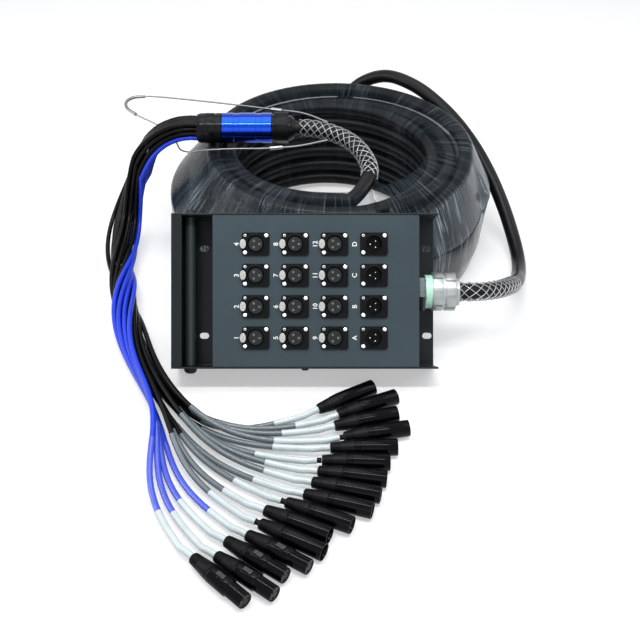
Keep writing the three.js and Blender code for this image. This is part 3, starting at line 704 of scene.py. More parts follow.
# Mesh with the cutter's shape taken out of it
def carved(mesh, cutter, material, angle=35):
    whole = addPiece("carvedWhole", mesh)
    tool = addPiece("carvedTool", cutter)
    cut = whole.modifiers.new("cut", "BOOLEAN")
    cut.operation = "DIFFERENCE"
    cut.solver = "EXACT"
    cut.object = tool
    result = baked(whole, material, angle)
    bpy.data.objects.remove(tool)
    return result


# The three places on a connector's contact circle, in mm
def onContacts(radius, start=0):
    turns = [math.radians(start + t) for t in (0, 120, 240)]
    return [(math.cos(t) * radius, math.sin(t) * radius, 0) for t in turns]


def contactHoles(sizes):
    return [circleOutline(sizes["hole"], 20, place[:2]) for place in onContacts(sizes["circle"])]


# Three fine ridges across a tab or button
def ridgesMesh(name, outline, low, high, material):
    ridge = plate(name + "One", [outline], low, high, material, 0.05)
    return scatter(name, ridge, [(0, k * 1.5, 0) for k in (-1, 0, 1)], material)


def pinMesh(name, radius, low, high):
    shoulder = high - radius
    tip = (radius * 0.8, shoulder + radius * 0.65)
    profile = [(0, low), (radius, low), (radius, shoulder), tip, (0, high)]
    return lathe(name, profile, 16, contactMetal, 60)


def bootMesh():
    length = plugSizes["bootLength"]
    radius, top = plugSizes["boot"], plugSizes["bootTop"]
    profile = [(0, 0.6), (3.6, 0.6), (3.9, 0), (radius - 0.7, 0), (radius, 0.9)]
    for rib in range(4):
        low = 2.2 + rib * 2.4
        edge = radius + (top - radius) * low / length
        profile += [(edge, low), (edge - 0.45, low + 0.3), (edge - 0.4, low + 0.9), (edge + 0.25, low + 1.2)]
    profile += [(radius + (top - radius) * 0.62, 15), (top - 0.35, 20.5), (top, 23.5), (top, length - 0.4)]
    profile += [(top - 0.5, length), (0, length)]
    return lathe("boot", profile, 40, bootRubber, 50)


# The shell starts at the boot with a step and two fine grooves: how far in and how far along each point lies
collarSteps = ((0.5, 0), (0.1, 0.5), (0.1, 2.4), (0.5, 2.7), (0.5, 3.2), (0.1, 3.5), (0.1, 5.2), (0.45, 5.5),
               (0.45, 6.0), (0, 6.4))


def shellMesh(name, rest):
    start = plugSizes["bootLength"]
    collar = [(plugSizes["shell"] - inward, start + along) for inward, along in collarSteps]
    return lathe(name, [(0, start), *collar, *rest], 48, shellBlack, 40)


def malePlugMesh():
    r, mouth, end = plugSizes["shell"], plugSizes["mouth"], plugSizes["length"]
    floor = end - plugSizes["depth"]
    shell = shellMesh("maleShell", [
        (r, end - 0.5), (r - 0.3, end), (mouth + 0.2, end), (mouth, end - 0.3), (mouth, floor), (0, floor),
    ])
    pin = pinMesh("malePin", plugSizes["pin"], floor - 1, end - plugSizes["pinSetBack"])
    pins = scatter("malePins", pin, onContacts(plugSizes["circle"]), contactMetal, angle=60)
    return merged("malePlug", [bootMesh(), shell, pins])


plugButton = {"long": 10, "wide": 4.6, "high": 3.6, "proud": 1.3, "travel": 1.2, "fromMouth": 27,
              "room": 0.3}


def onPlugSide(along, level):
    return shift(0, plugSizes["shell"] + plugButton["proud"] - level, along) @ turn(-90, "X")


def femalePlugMesh():
    r, nose, end = plugSizes["shell"], plugSizes["nose"], plugSizes["length"]
    step = end - plugSizes["noseLength"]
    face = end - plugSizes["holeDepth"]
    shell = shellMesh("femaleShell", [
        (r, step - 0.6), (r - 0.4, step), (nose, step + 1.2), (nose, end - 0.5), (nose - 0.4, end),
        (nose - 1, end), (nose - 1, face), (0, face),
    ])
    b = plugButton
    rim = roundedOutline(b["wide"] + b["room"] * 2, b["long"] + b["room"] * 2, 1.2)
    pocket = plate("pocket", [rim], 0, 6, shellBlack)
    pocket.transform(onPlugSide(end - b["fromMouth"] - b["long"] / 2, b["high"] + b["travel"] + b["room"]))
    shell = carved(shell, pocket, shellBlack, 40)
    outlines = [circleOutline(nose - 1.1, 40), *contactHoles(plugSizes)]
    insert = plate("femaleInsert", outlines, face, end - 0.7, insertGrey, 0.15)
    return merged("femalePlug", [bootMesh(), shell, insert])


def buttonMesh():
    b = plugButton
    pad = plate("buttonPad", [roundedOutline(b["wide"], b["long"], 1.0)], 0, b["high"], buttonBlack, 0.3)
    outline = roundedOutline(b["wide"] - 1.4, 0.5, 0.2)
    ridges = ridgesMesh("buttonRidges", outline, b["high"] - 0.1, b["high"] + 0.2, buttonBlack)
    mesh = merged("button", [pad, ridges])
    mesh.transform(onPlugSide(plugSizes["length"] - b["fromMouth"] - b["long"] / 2, b["high"]))
    return mesh


malePlug = malePlugMesh()
femalePlug = femalePlugMesh()
button = buttonMesh()
for i, label in enumerate(plugLabels):
    isInput = i < inputCount
    node = f"input_plug_{label}" if isInput else f"return_plug_{label}"
    kind = malePlug if isInput else femalePlug
    jacket, shrink = (tailBlack, sleeveGrey) if isInput else (tailBlue, sleeveBlue)
    parts = [keep(f"plug_{label}", moved(kind, plugPlace(i)), [node])]
    if not isInput:
        pressed = moved(button, plugPlace(i))
        nodes = [f"return_plug_latch_{label}"]
        parts.append(keep(f"plugButton_{label}", pressed, nodes, f"plug_{label}_button"))
    route = tailRoutes[i]
    total = routeLength(route)
    chance = random.Random(sleeves["seed"] + i)
    whiteEnd = total - (sleeves["bareEnd"] if i in sleeves["bareTails"] else 0.3)
    whiteStart = whiteEnd - sleeves["white"] - chance.uniform(-sleeves["spread"], sleeves["spread"])
    shrinkStart = whiteStart - sleeves["grey"] - chance.uniform(-sleeves["spread"], sleeves["spread"]) * 2
    shrinkEnd = whiteStart + sleeves["overlap"]
    tail = cableCurve(f"tail_{label}", route, tails["radius"], jacket, 3)
    enrol(tail, ["tail_loom"] if i == 0 else [])
    for name, start, end, radius, material in (
        (f"labelSleeve_{label}", whiteStart, whiteEnd, sleeves["whiteRadius"], sleeveWhite),
        (f"shrinkSleeve_{label}", shrinkStart, shrinkEnd, sleeves["greyRadius"], shrink),
    ):
        sleeve = baked(cableCurve(name, cutRoute(route, start, end), radius, material, 3), material, 60)
        parts.append(keep(name, sleeve))
print("plugs and tails made")


# Chassis, panel and handle bar
slots = {"long": 11, "wide": 7, "spread": 103, "fromLeft": 15.5, "fromRight": 14.5}
handle = {"radius": 6, "fromEdge": 19, "height": 32, "head": 7.5, "headHeight": 6.4, "gap": 0.3}


# A plate standing on its long edge: width along X, height along Z, thickness along Y
def uprightPlate(name, width, height, thickness, corner, material, edge):
    mesh = plate(name, [roundedOutline(width, height, corner, 4)], 0, thickness, material, edge)
    mesh.transform(shift(0, thickness, height / 2) @ turn(90, "X"))
    return mesh


def chassisMesh():
    b = stageBox
    half, middle, sheet = b["width"] / 2, b["height"] / 2, b["sheet"]
    rim = [(x * half, middle + y * middle) for x, y in ((-1, -1), (1, -1), (1, 1), (-1, 1))]
    holes = []
    for x in (wallLeft - slots["fromLeft"], wallRight + slots["fromRight"]):
        for side in (-1, 1):
            centre = (x, middle + side * slots["spread"] / 2)
            holes.append(roundedOutline(slots["long"], slots["wide"], slots["wide"] / 2 - 0.01, 6, centre))
    base = plate("base", [rim, *holes], 0, sheet, chassisPaint, 0.25)
    cheek = uprightPlate("cheek", b["width"], b["depth"], sheet, 1.2, chassisPaint, 0.3)
    bend = lathe("bend", [(0, -half), (1.4, -half), (1.4, half), (0, half)], 16, chassisPaint)
    stand = turn(90, "Z") @ turn(90, "X")
    wallTop = b["depth"] - b["panelSheet"] - 0.3
    wallRim = roundedOutline(b["height"] - 2 * sheet, wallTop, 0.4, 2)
    wall = plate("endWall", [wallRim], 0, b["wall"], chassisPaint, 0.2)
    endRim = roundedOutline(b["height"] - 0.2, b["depth"], 0.8, 3)
    endPlate = plate("endPlate", [endRim], 0, b["wall"], chassisPaint, 0.3)
    lipCentre = (b["endLip"] / 2 - half, middle)
    lipRim = roundedOutline(b["endLip"], b["height"] - 2 * sheet - 0.4, 0.6, 2, lipCentre)
    endLip = plate("endLip", [lipRim], b["depth"] - sheet, b["depth"], chassisPaint, 0.4)
    return merged("chassis", [
        base, cheek, moved(cheek, shift(0, b["height"] - sheet, 0)),
        moved(wall, shift(wallLeft, middle, wallTop / 2) @ stand),
        moved(wall, shift(wallRight - b["wall"], middle, wallTop / 2) @ stand),
        moved(endPlate, shift(-half, middle, b["depth"] / 2) @ stand), endLip,
        *[moved(bend, shift(0, y, sheet) @ turn(90, "Y")) for y in (sheet, b["height"] - sheet)],
    ])


sockets = {"columns": 4, "rows": 4, "columnPitch": 44.5, "rowPitch": 35.3, "shift": 1.2, "wide": 31,
           "tall": 26, "thick": 2, "corner": 3, "body": 11.8, "ring": 10.5, "ringHeight": 1.8,
           "ringStep": 0.12, "ringInner": 9.4, "insert": 8, "sunk": 0.8, "gapDepth": 11, "hole": 1.3,
           "holeDepth": 5, "circle": 4.2, "pin": 1.2, "pinSetBack": 6, "recess": 9.3,
           "recessDepth": 15.5, "seat": 0.3}
socketPlaces = []
for column in range(sockets["columns"]):
    for row in range(sockets["rows"]):
        x = (wallLeft + wallRight) / 2 - sockets["shift"]
        x += (column - (sockets["columns"] - 1) / 2) * sockets["columnPitch"]
        y = stageBox["height"] / 2 + (row - (sockets["rows"] - 1) / 2) * sockets["rowPitch"]
        socketPlaces.append((x, y, stageBox["depth"]))
inputPlaces = socketPlaces[:inputCount]
returnPlaces = socketPlaces[inputCount:]


def panelMesh():
    edge = stageBox["sheet"] + 0.3
    high = stageBox["height"] - edge
    rim = [(wallLeft, edge), (wallRight, edge), (wallRight, high), (wallLeft, high)]
    holes = [circleOutline(sockets["body"] + 0.4, 40, place[:2]) for place in socketPlaces]
    depth = stageBox["depth"]
    return plate("panel", [rim, *holes], depth - stageBox["panelSheet"], depth, panelPaint, 0.3)


def handleMesh():
    radius, head, rise, gap = handle["radius"], handle["head"], handle["headHeight"], handle["gap"]
    cap = lathe("handleHead", [
        (0, -0.3), (head - 0.4, -0.3), (head, 0.2), (head, rise * 0.3), (head * 0.9, rise * 0.62),
        (head * 0.68, rise * 0.88), (head * 0.4, rise), (0, rise),
    ], 36, chassisPaint)
    floor, above = rise - 2.2, rise + 2
    hexCut = lathe("hexCut", [(0, floor), (2.3, floor), (2.3, above), (0, above)], 6, chassisPaint)
    cap = carved(cap, hexCut, chassisPaint)
    low = stageBox["sheet"] + gap
    high = stageBox["height"] - low
    bar = lathe("handleRod", [
        (0, low), (radius - 0.6, low), (radius, low + 0.6), (radius, high - 0.6), (radius - 0.6, high),
        (0, high),
    ], 40, handleLitPaint)
    farCap = moved(cap, shift(0, 0, stageBox["height"] + gap))
    whole = merged("handle", [bar, farCap, moved(cap, shift(0, 0, -gap) @ turn(180, "X"))])
    whole.transform(shift(handle["fromEdge"] - stageBox["width"] / 2, 0, handle["height"]) @ turn(-90, "X"))
    return whole


keep("chassisShell", moved(chassisMesh(), stageFrame), ["chassis"])
keep("frontPanel", moved(panelMesh(), stageFrame), ["front_panel"])
keep("handleBar", moved(handleMesh(), stageFrame), ["handle_bar"])
print("box made")


# Panel sockets, their tabs, screws and numbers
screw = {"radius": 2.3, "rise": 1.1, "crossWide": 0.75, "crossLong": 2.9, "crossDeep": 0.7, "lock": 1.7,
         "lockRise": 0.5, "acrossX": 12, "acrossY": 9.6, "cheek": 4.4, "cheekRise": 3.0, "cheekUp": 36}
tab = {"wide": 7, "tall": 10.7, "thick": 1.4, "offset": 14.3, "travel": 1.5, "rest": 0.2, "stemWide": 2.7,
       "stemTall": 5.2, "notch": 2.85}
flangeLow = sockets["seat"]
flangeTop = flangeLow + sockets["thick"]
ringTop = flangeTop + sockets["ringHeight"]


def flangeOutline(withNotch):
    outline = roundedOutline(sockets["wide"], sockets["tall"], sockets["corner"], 5)
    if not withNotch:
        return outline
    edge, half = -sockets["wide"] / 2, tab["stemTall"] / 2 + 0.3
    floor = edge + tab["notch"]
    cut = [(edge, half), (floor, half), (floor, -half), (edge, -half)]
    first = next(i for i, (x, y) in enumerate(outline) if x < edge + 0.001 and y > 0)
    return outline[:first + 1] + cut + outline[first + 1:]


# The low step round the ring leaves room for the pressed tab
def ringProfile(inner, floor):
    ring, body, step = sockets["ring"], sockets["body"], flangeTop + sockets["ringStep"]
    return [
        (inner, floor), (body, floor), (body, flangeTop), (body, flangeTop + 0.05), (body - 0.15, step),
        (ring + 0.25, step), (ring, flangeTop + 0.4), (ring, ringTop - 0.35), (ring - 0.35, ringTop),
        (inner + 0.3, ringTop), (inner, ringTop - 0.3), (inner, floor),
    ]


def socketBodyMesh(name, inner, depth, withNotch):
    outlines = [flangeOutline(withNotch), circleOutline(inner, 48)]
    flange = plate(name + "Flange", outlines, flangeLow, flangeTop, socketBlack, 0.3)
    floor, wide = ringTop - depth, inner + 0.5
    shell = lathe(name + "Ring", ringProfile(inner, floor), 56, socketBlack, 40)
    backProfile = [(0, floor - 4), (wide, floor - 4), (wide, floor), (0, floor)]
    back = lathe(name + "Back", backProfile, 40, socketBlack)
    return merged(name, [flange, shell, back])


def insertMesh():
    top = ringTop - sockets["sunk"]
    low, floor, radius = top - sockets["holeDepth"], ringTop - sockets["gapDepth"], sockets["insert"]
    outlines = [circleOutline(radius, 48), *contactHoles(sockets)]
    face = plate("insertFace", outlines, low, top, insertGrey, 0.3)
    core = lathe("insertCore", [(0, floor), (radius, floor), (radius, low), (0, low)], 48, insertGrey)
    return merged("insert", [face, core])


def contactMesh():
    top = ringTop - sockets["sunk"] - 0.5
    low = top - 3
    r = sockets["hole"] - 0.08
    profile = [(0, low), (r, low), (r, top), (r * 0.6, top), (r * 0.6, low + 1), (0, low + 1)]
    return lathe("contact", profile, 20, contactPlate)


def screwMesh(radius, rise, material):
    head = lathe("screwHead", [
        (0, 0), (radius - 0.1, 0), (radius, 0.15), (radius * 0.96, rise * 0.45), (radius * 0.75, rise * 0.8),
        (radius * 0.4, rise), (0, rise),
    ], 24, material)
    share = radius / screw["radius"]
    bar = roundedOutline(screw["crossLong"] * share, screw["crossWide"] * share, 0.12, 2)
    cross = plate("cross", [bar], rise - screw["crossDeep"], rise + 1, material)
    head = carved(head, cross, material)
    return carved(head, moved(cross, turn(90, "Z")), material)


# One copy at each offset from each place
def onPanel(name, mesh, places, material, nodes=(), angle=35, offsets=((0, 0, 0),)):
    spots = [(x + dx, y + dy, z + dz) for x, y, z in places for dx, dy, dz in offsets]
    return keep(name, scatter(name, mesh, spots, material, stageFrame, angle), nodes)


inputNodes = [f"input_socket_{label}" for label in plugLabels[:inputCount]]
returnNodes = [f"return_socket_{label}" for label in plugLabels[inputCount:]]
inputBody = socketBodyMesh("inputSocket", sockets["ringInner"], sockets["gapDepth"], True)
onPanel("inputSockets", inputBody, inputPlaces, socketBlack, inputNodes, 40)
onPanel("inputInserts", insertMesh(), inputPlaces, insertGrey)
onPanel("inputContacts", contactMesh(), inputPlaces, contactPlate, angle=60,
        offsets=onContacts(sockets["circle"]))
returnBody = socketBodyMesh("returnSocket", sockets["recess"], sockets["recessDepth"], False)
onPanel("returnSockets", returnBody, returnPlaces, socketBlack, returnNodes, 40)
pinLow, pinHigh = ringTop - sockets["recessDepth"] - 1, ringTop - sockets["pinSetBack"]
returnPin = pinMesh("returnPin", sockets["pin"], pinLow, pinHigh)
onPanel("returnPins", returnPin, returnPlaces, contactMetal, angle=60,
        offsets=onContacts(sockets["circle"], 180))
dx, dy = screw["acrossX"], screw["acrossY"]
socketScrew = screwMesh(screw["radius"], screw["rise"], screwZinc)
onPanel("socketScrews", socketScrew, socketPlaces, screwZinc,
        offsets=[(dx, dy, flangeTop), (-dx, -dy, flangeTop)])
lockScrew = screwMesh(screw["lock"], screw["lockRise"], lockScrewZinc)
onPanel("lockScrews", lockScrew, socketPlaces, lockScrewZinc, offsets=[(-dx, dy, flangeTop)])


def tabMesh():
    low = flangeTop + tab["travel"] + tab["rest"]
    top = low + tab["thick"]
    outline = [(x * tab["wide"] / 2, y * tab["tall"] / 2) for x, y in circleOutline(1, 48)]
    face = plate("tabFace", [outline], low, top, tabMetal, 0.35)
    stemRim = roundedOutline(tab["stemWide"] - 0.6, tab["stemTall"], 0.3, 2)
    stem = plate("tabStem", [stemRim], flangeTop - 0.3, low + 0.5, tabMetal)
    ridges = ridgesMesh("tabRidges", roundedOutline(3.6, 0.55, 0.25, 3), top - 0.1, top + 0.16, tabMetal)
    mesh = merged("tab", [face, stem, ridges])
    mesh.transform(shift(-tab["offset"], 0, 0))
    return mesh


tabShape = tabMesh()
for label, place in zip(plugLabels[:inputCount], inputPlaces):
    mesh = moved(tabShape, stageFrame @ shift(*place))
    keep(f"tab_{label}", mesh, [f"input_latch_{label}"], f"latch_{label}")

numbers = {"fromSocket": 21.6, "size": 7.4, "thick": 0.06, "bold": 0.16}


def labelMesh(text):
    words = bpy.data.curves.new("label", "FONT")
    words.body = text
    words.size = numbers["size"] * mm
    words.align_x = "CENTER"
    words.align_y = "CENTER"
    words.extrude = numbers["thick"] / 2 * mm
    words.offset = numbers["bold"] * mm
    return baked(addPiece("label", words), printWhite)


labelTexts = [str(n + 1) for n in range(inputCount)] + list("ABCD")
labelMeshes = []
for text, (x, y, z) in zip(labelTexts, socketPlaces):
    where = stageFrame @ shift(x - numbers["fromSocket"], y, z + numbers["thick"] / 2) @ turn(90, "Z")
    labelMeshes.append(moved(labelMesh(text), where))
keep("socketNumbers", merged("socketNumbers", labelMeshes))
cheekScrew = screwMesh(screw["cheek"], screw["cheekRise"], chassisPaint)
cheekPlace = stageFrame @ shift(0, -0.1, screw["cheekUp"]) @ turn(90, "X")
keep("cheekScrew", moved(cheekScrew, cheekPlace))
print("panel dressed")


# Cable gland on the box
# A round outline with count flat-bottomed notches, each taking this share of its pitch
def notchedOutline(radius, depth, count, share, steps=5):
    points = []
    for k in range(count):
        start = k / count * math.tau
        wide = share / count * math.tau
        rest = (1 - share) / count * math.tau
        for n in range(steps + 1):
            t = start + wide * n / steps
            points.append((math.cos(t) * (radius - depth), math.sin(t) * (radius - depth)))
        for n in range(steps + 1):
            t = start + wide + rest * n / steps
            points.append((math.cos(t) * radius, math.sin(t) * radius))
    return points


def glandMesh():
    g = gland
    corner = g["seatNut"] / math.cos(math.radians(30))
    hexTurns = np.radians(np.arange(6) * 60 + g["seatTurn"])
    hexagon = [(math.cos(t) * corner, math.sin(t) * corner) for t in hexTurns]
    first = g["thread"]
    second = first + g["ring"]
    third = second + g["nut"]
    last = third + g["collar"]
    seatNut = plate("seatNut", [hexagon], 0.3, first, seatSteelShaded, 0.6)
    ring = g["ringRadius"]
    seal = lathe("seal", [
        (0, first), (ring - 0.8, first), (ring, first + 0.9), (ring, first + 3.4), (ring - 0.5, first + 3.8),
        (ring - 0.5, first + 4.6), (ring, first + 5), (ring, second), (0, second),
    ], 64, sealMint)
    core = g["nutRadius"] - g["groove"]
    coreProfile = [(0, second), (core, second + 0.2), (core, third - 0.2), (0, third)]
    nutCore = lathe("nutCore", coreProfile, 64, nickel)
    middle, half = (second + third) / 2, g["grooveWide"] / 2
    outline = notchedOutline(g["nutRadius"], g["groove"], g["notches"], g["notchShare"])
    lowBand = plate("lowBand", [outline], second, middle - half, nickel, 0.35)
    highBand = plate("highBand", [outline], middle + half, third, nickel, 0.35)
    highBand.transform(turn(g["bandTurn"], "Z"))
    collar = g["collarRadius"]
    mouth = lathe("glandMouth", [
        (0, third), (collar, third), (collar, third + 1.2), (collar - 0.8, third + 1.8),
        (collar - 0.8, last - 0.8), (collar - 1.6, last), (trunkRadius + 0.6, last),
        (trunkRadius + 0.4, last - 1), (0, last - 1),
    ], 48, nickel)
    whole = merged("gland", [seatNut, seal, nutCore, lowBand, highBand, mouth])
    whole.transform(shift(wallRight, stageBox["height"] / 2, stageBox["depth"] / 2) @ turn(90, "Y"))
    return whole


keep("boxGland", moved(glandMesh(), stageFrame), ["box_gland"])


# Splitter
def outletMesh():
    r, length, mouth = splitter["radius"], splitter["outlet"], splitter["outletMouth"]
    cap = lathe("outletCap", [
        (0, 3), (mouth, 3), (mouth, 0.4), (mouth + 0.4, 0), (mouth + 0.9, 0), (r - 1.2, 1.4), (r - 0.5, 4),
        (r - 0.4, 9.5), (r - 0.4, 12), (0, 12),
    ], 64, glandNylon)
    body = plate("outletBody", [notchedOutline(r - 0.05, 0.55, 12, 0.22)], 10, 22, glandNylon, 0.4)
    foot = lathe("outletFoot", [
        (0, 22), (r - 0.9, 22), (r - 0.9, 24), (r - 0.2, 24.4), (r - 0.2, length - 0.5), (r - 0.7, length),
        (0, length),
    ], 64, glandNylon)
    return merged("outlet", [cap, body, foot])


def barrelMesh():
    r, length = splitter["radius"], splitter["barrel"]
    half, floor = splitter["grooveWide"] / 2, r - splitter["groove"]
    profile = [(0, 0), (r - 0.6, 0), (r, 0.6)]
    for middle in [length * share for share in splitter["grooves"]]:
        profile += [(r, middle - half - 0.2), (floor, middle - half + 0.2)]
        profile += [(floor, middle + half - 0.2), (r, middle + half + 0.2)]
    profile += [(r, length - 0.6), (r - 0.6, length), (0, length)]
    return lathe("barrel", profile, 96, anodisedBlue, 30)


def inletMesh():
    length = splitter["inlet"]
    corner = splitter["hexAcross"] / math.sqrt(3) - 0.5
    hexLong = length * splitter["hexShare"]
    turns = [math.radians(60 * k + n * 3 + splitter["hexTurn"]) for k in range(6) for n in (-1, 0, 1)]
    outline = [(math.cos(t) * corner, math.sin(t) * corner) for t in turns]
    hexagon = plate("hexagon", [outline], 2.5, hexLong, glandNylon, 0.5)
    flange = lathe("inletFlange", [(0, 0), (18, 0), (18, 3), (0, 3)], 64, glandNylon)
    cap = lathe("inletCap", [
        (0, hexLong - 1), (16, hexLong - 1), (16, hexLong + 2), (15, hexLong + 4.5), (12.5, length - 0.8),
        (11.5, length), (trunkRadius + 0.3, length), (0, length - 1.5),
    ], 64, glandNylon)
    return merged("inlet", [hexagon, flange, cap])


def alongSplitter(name, mesh, x, node):
    place = shift(x, splitter["y"], splitterZ) @ turn(90, "Y")
    return keep(name, moved(mesh, place), [node])


outletX = splitter["left"]
outletPiece = alongSplitter("splitterOutlet", outletMesh(), outletX, "splitter_outlet_gland")
barrelPiece = alongSplitter("splitterBarrel", barrelMesh(), barrelX, "splitter_barrel")
inletPiece = alongSplitter("splitterInlet", inletMesh(), inletX, "splitter_inlet_gland")


# Pulling bail: a wire eye with its sleeve, and a ferrule where each leg joins the grip on the trunk
bail = {"wire": 1.1, "sleeve": 2.2, "ferrule": 2.4, "ferruleLong": 16, "gap": 0.3}
leadTop = trunkRadius + bail["wire"] + bail["gap"]
bailRoute = [
    (14, 236, splitterZ + leadTop),
    (-18, 262, splitterZ + 10),
    (-60, 285, splitterZ + 4),
    (-147, 309, splitterZ + 3),
    (-234, 325, splitterZ + 3),
    (-250, 321, splitterZ + 3),
    (-257, 308, splitterZ + 3),
    (-254, 293, splitterZ + 2),
    (-240, 278, splitterZ),
    (-205, 264, 157),
    (-187, 250, 145),
    (-178, 232, 142),
    (-162, 217, 147),
    (-150, 212, 152),
    (-109, 209, 156),
    (-60, 211, 156),
    (-22, 214, 158),
    (14, 223, splitterZ - 8),
]
bailPoints = smoothRoute(bailRoute, 10)
bailWire = cableCurve("bailWire", bailPoints, bail["wire"], bailSteel, 3)
enrol(bailWire, ["pulling_bail"])
sleeveCurve = cableCurve("sleeve", smoothRoute(bailRoute[4:9], 10), bail["sleeve"], bailSteel)
bailSleeve = keep("bailSleeve", baked(sleeveCurve, bailSteel, 50))
ferrules = []
for start, end in ((bailRoute[2], bailRoute[1]), (bailRoute[-3], bailRoute[-2])):
    start, end = Vector(start), Vector(end)
    way = (end - start).normalized() * bail["ferruleLong"]
    tubePoints = [start + way * share for share in (0, 0.06, 0.94, 1)]
    ferrules.append(baked(cableCurve("ferrule", tubePoints, bail["ferrule"], wireSteel), wireSteel, 50))
bailFerrules = keep("bailFerrules", merged("bailFerrules", ferrules))

# Wire mesh grips woven round the trunk: the strands are copies of its line, each wound round it
gripTree = Tree("gripTree", {"Strands": "Int", "Turns": "Float", "Radius": "Float", "Wire": "Float",
                             "Samples": "Int", "Material": "Material"})
gripInputs = gripTree.inputs
resampled = gripTree.node("GeometryNodeResampleCurve", {
    "Curve": gripInputs["Geometry"], "Count": gripInputs["Samples"],
})
copies = gripTree.node("GeometryNodeDuplicateElements", {
    0: resampled.outputs[0], "Amount": gripInputs["Strands"],
}, domain="SPLINE")
along = gripTree.node("GeometryNodeSplineParameter", {}).outputs["Factor"]
turned = gripTree.math("MULTIPLY", gripTree.math("MULTIPLY", along, gripInputs["Turns"]), math.tau)
share = gripTree.math("DIVIDE", copies.outputs["Duplicate Index"], gripInputs["Strands"])
angle = gripTree.math("ADD", turned, gripTree.math("MULTIPLY", share, math.tau))
normal = gripTree.node("GeometryNodeInputNormal", {}).outputs[0]
tangent = gripTree.node("GeometryNodeInputTangent", {}).outputs[0]


def gripVector(operation, values):
    return gripTree.node("ShaderNodeVectorMath", values, operation=operation).outputs[0]


cross = gripVector("CROSS_PRODUCT", {0: tangent, 1: normal})
offsets = []
for wave, axis in (("COSINE", normal), ("SINE", cross)):
    reach = gripTree.math("MULTIPLY", gripTree.math(wave, angle), gripInputs["Radius"])
    offsets.append(gripVector("SCALE", {0: axis, "Scale": reach}))
wound = gripTree.node("GeometryNodeSetPosition", {
    "Geometry": copies.outputs[0], "Offset": gripVector("ADD", dict(enumerate(offsets))),
})
ring = gripTree.node("GeometryNodeCurvePrimitiveCircle", {"Resolution": 6, "Radius": gripInputs["Wire"]})
wires = gripTree.node("GeometryNodeCurveToMesh", {
    "Curve": wound.outputs[0], "Profile Curve": ring.outputs[0],
})
gripTree.finish(wires.outputs[0])

grip = {"strands": 6, "wire": 0.5, "clear": 0.9, "turnLength": 62, "step": 4, "samplesPerMm": 0.5,
        "box": (1, 118), "fan": (6, 150)}


# Strands wound both ways round this stretch of the trunk
def gripMesh(name, points):
    length = routeLength(points)
    meshes = []
    for way, extra in ((1, 0), (-1, grip["wire"] * 1.2)):
        holder = cableCurve(name + "Path", points, 0, wireSteel, 0)
        holder.data.use_fill_caps = False
        values = {
            "Strands": grip["strands"], "Turns": length / grip["turnLength"] * way,
            "Radius": (trunkRadius + grip["clear"] + extra) * mm, "Wire": grip["wire"] * mm,
            "Samples": int(length * grip["samplesPerMm"]),
        }
        meshes.append(gripTree.bake(holder, values, name, wireSteel, 180))
    return merged(name, meshes)


boxGrip, fanGrip = [
    keep(name, gripMesh(name, evenRoute(cutRoute(lead, *ends), grip["step"])))
    for name, lead, ends in (("boxGrip", boxLead, grip["box"]), ("fanGrip", fanLead, grip["fan"]))
]
print("splitter, bail and grips made")

# Stretch film round the coil: at each angle it spans the outside of the turns there
film = {"angles": 300, "across": 120, "hullSteps": 240, "offset": 0.4, "plateGap": 0.5, "floorGap": 0.05,
        "smooth": 3, "overEnds": 0.3}
filmCentre = Vector((coil["centreX"], coil["centreY"], 0))


# The radius and height of each turn that passes this angle
def turnMiddles(angle):
    wanted = (math.radians(coil["startAngle"]) - angle) / math.tau
    first = math.ceil(-film["overEnds"] - wanted)
    last = math.floor(coilTurns + film["overEnds"] - wanted)
    places = [coilPoint(min(max(wanted + k, 0), coilTurns)) - filmCentre for k in range(first, last + 1)]
    return np.array([(math.hypot(place.x, place.y), place.z) for place in places])


# Each point holds its radius, its height and the share of a full turn at which the film faces there
def filmSection(angle):
    middles = turnMiddles(angle)
    turns = np.linspace(-math.pi / 2, math.pi * 1.5, film["hullSteps"], endpoint=False)
    ways = np.stack([np.cos(turns), np.sin(turns)], 1)
    hull = middles[np.argmax(middles @ ways.T, 0)] + ways * (trunkRadius + film["offset"])
    hull = np.concatenate([hull, hull[:1]])
    steps = np.sqrt(((hull[1:] - hull[:-1]) ** 2).sum(1))
    distances = np.concatenate([[0], np.cumsum(steps)])
    even = np.linspace(0, distances[-1], film["across"], endpoint=False)
    shares = np.linspace(0, 1, len(hull))
    return np.stack([np.interp(even, distances, values) for values in (hull[:, 0], hull[:, 1], shares)], 1)


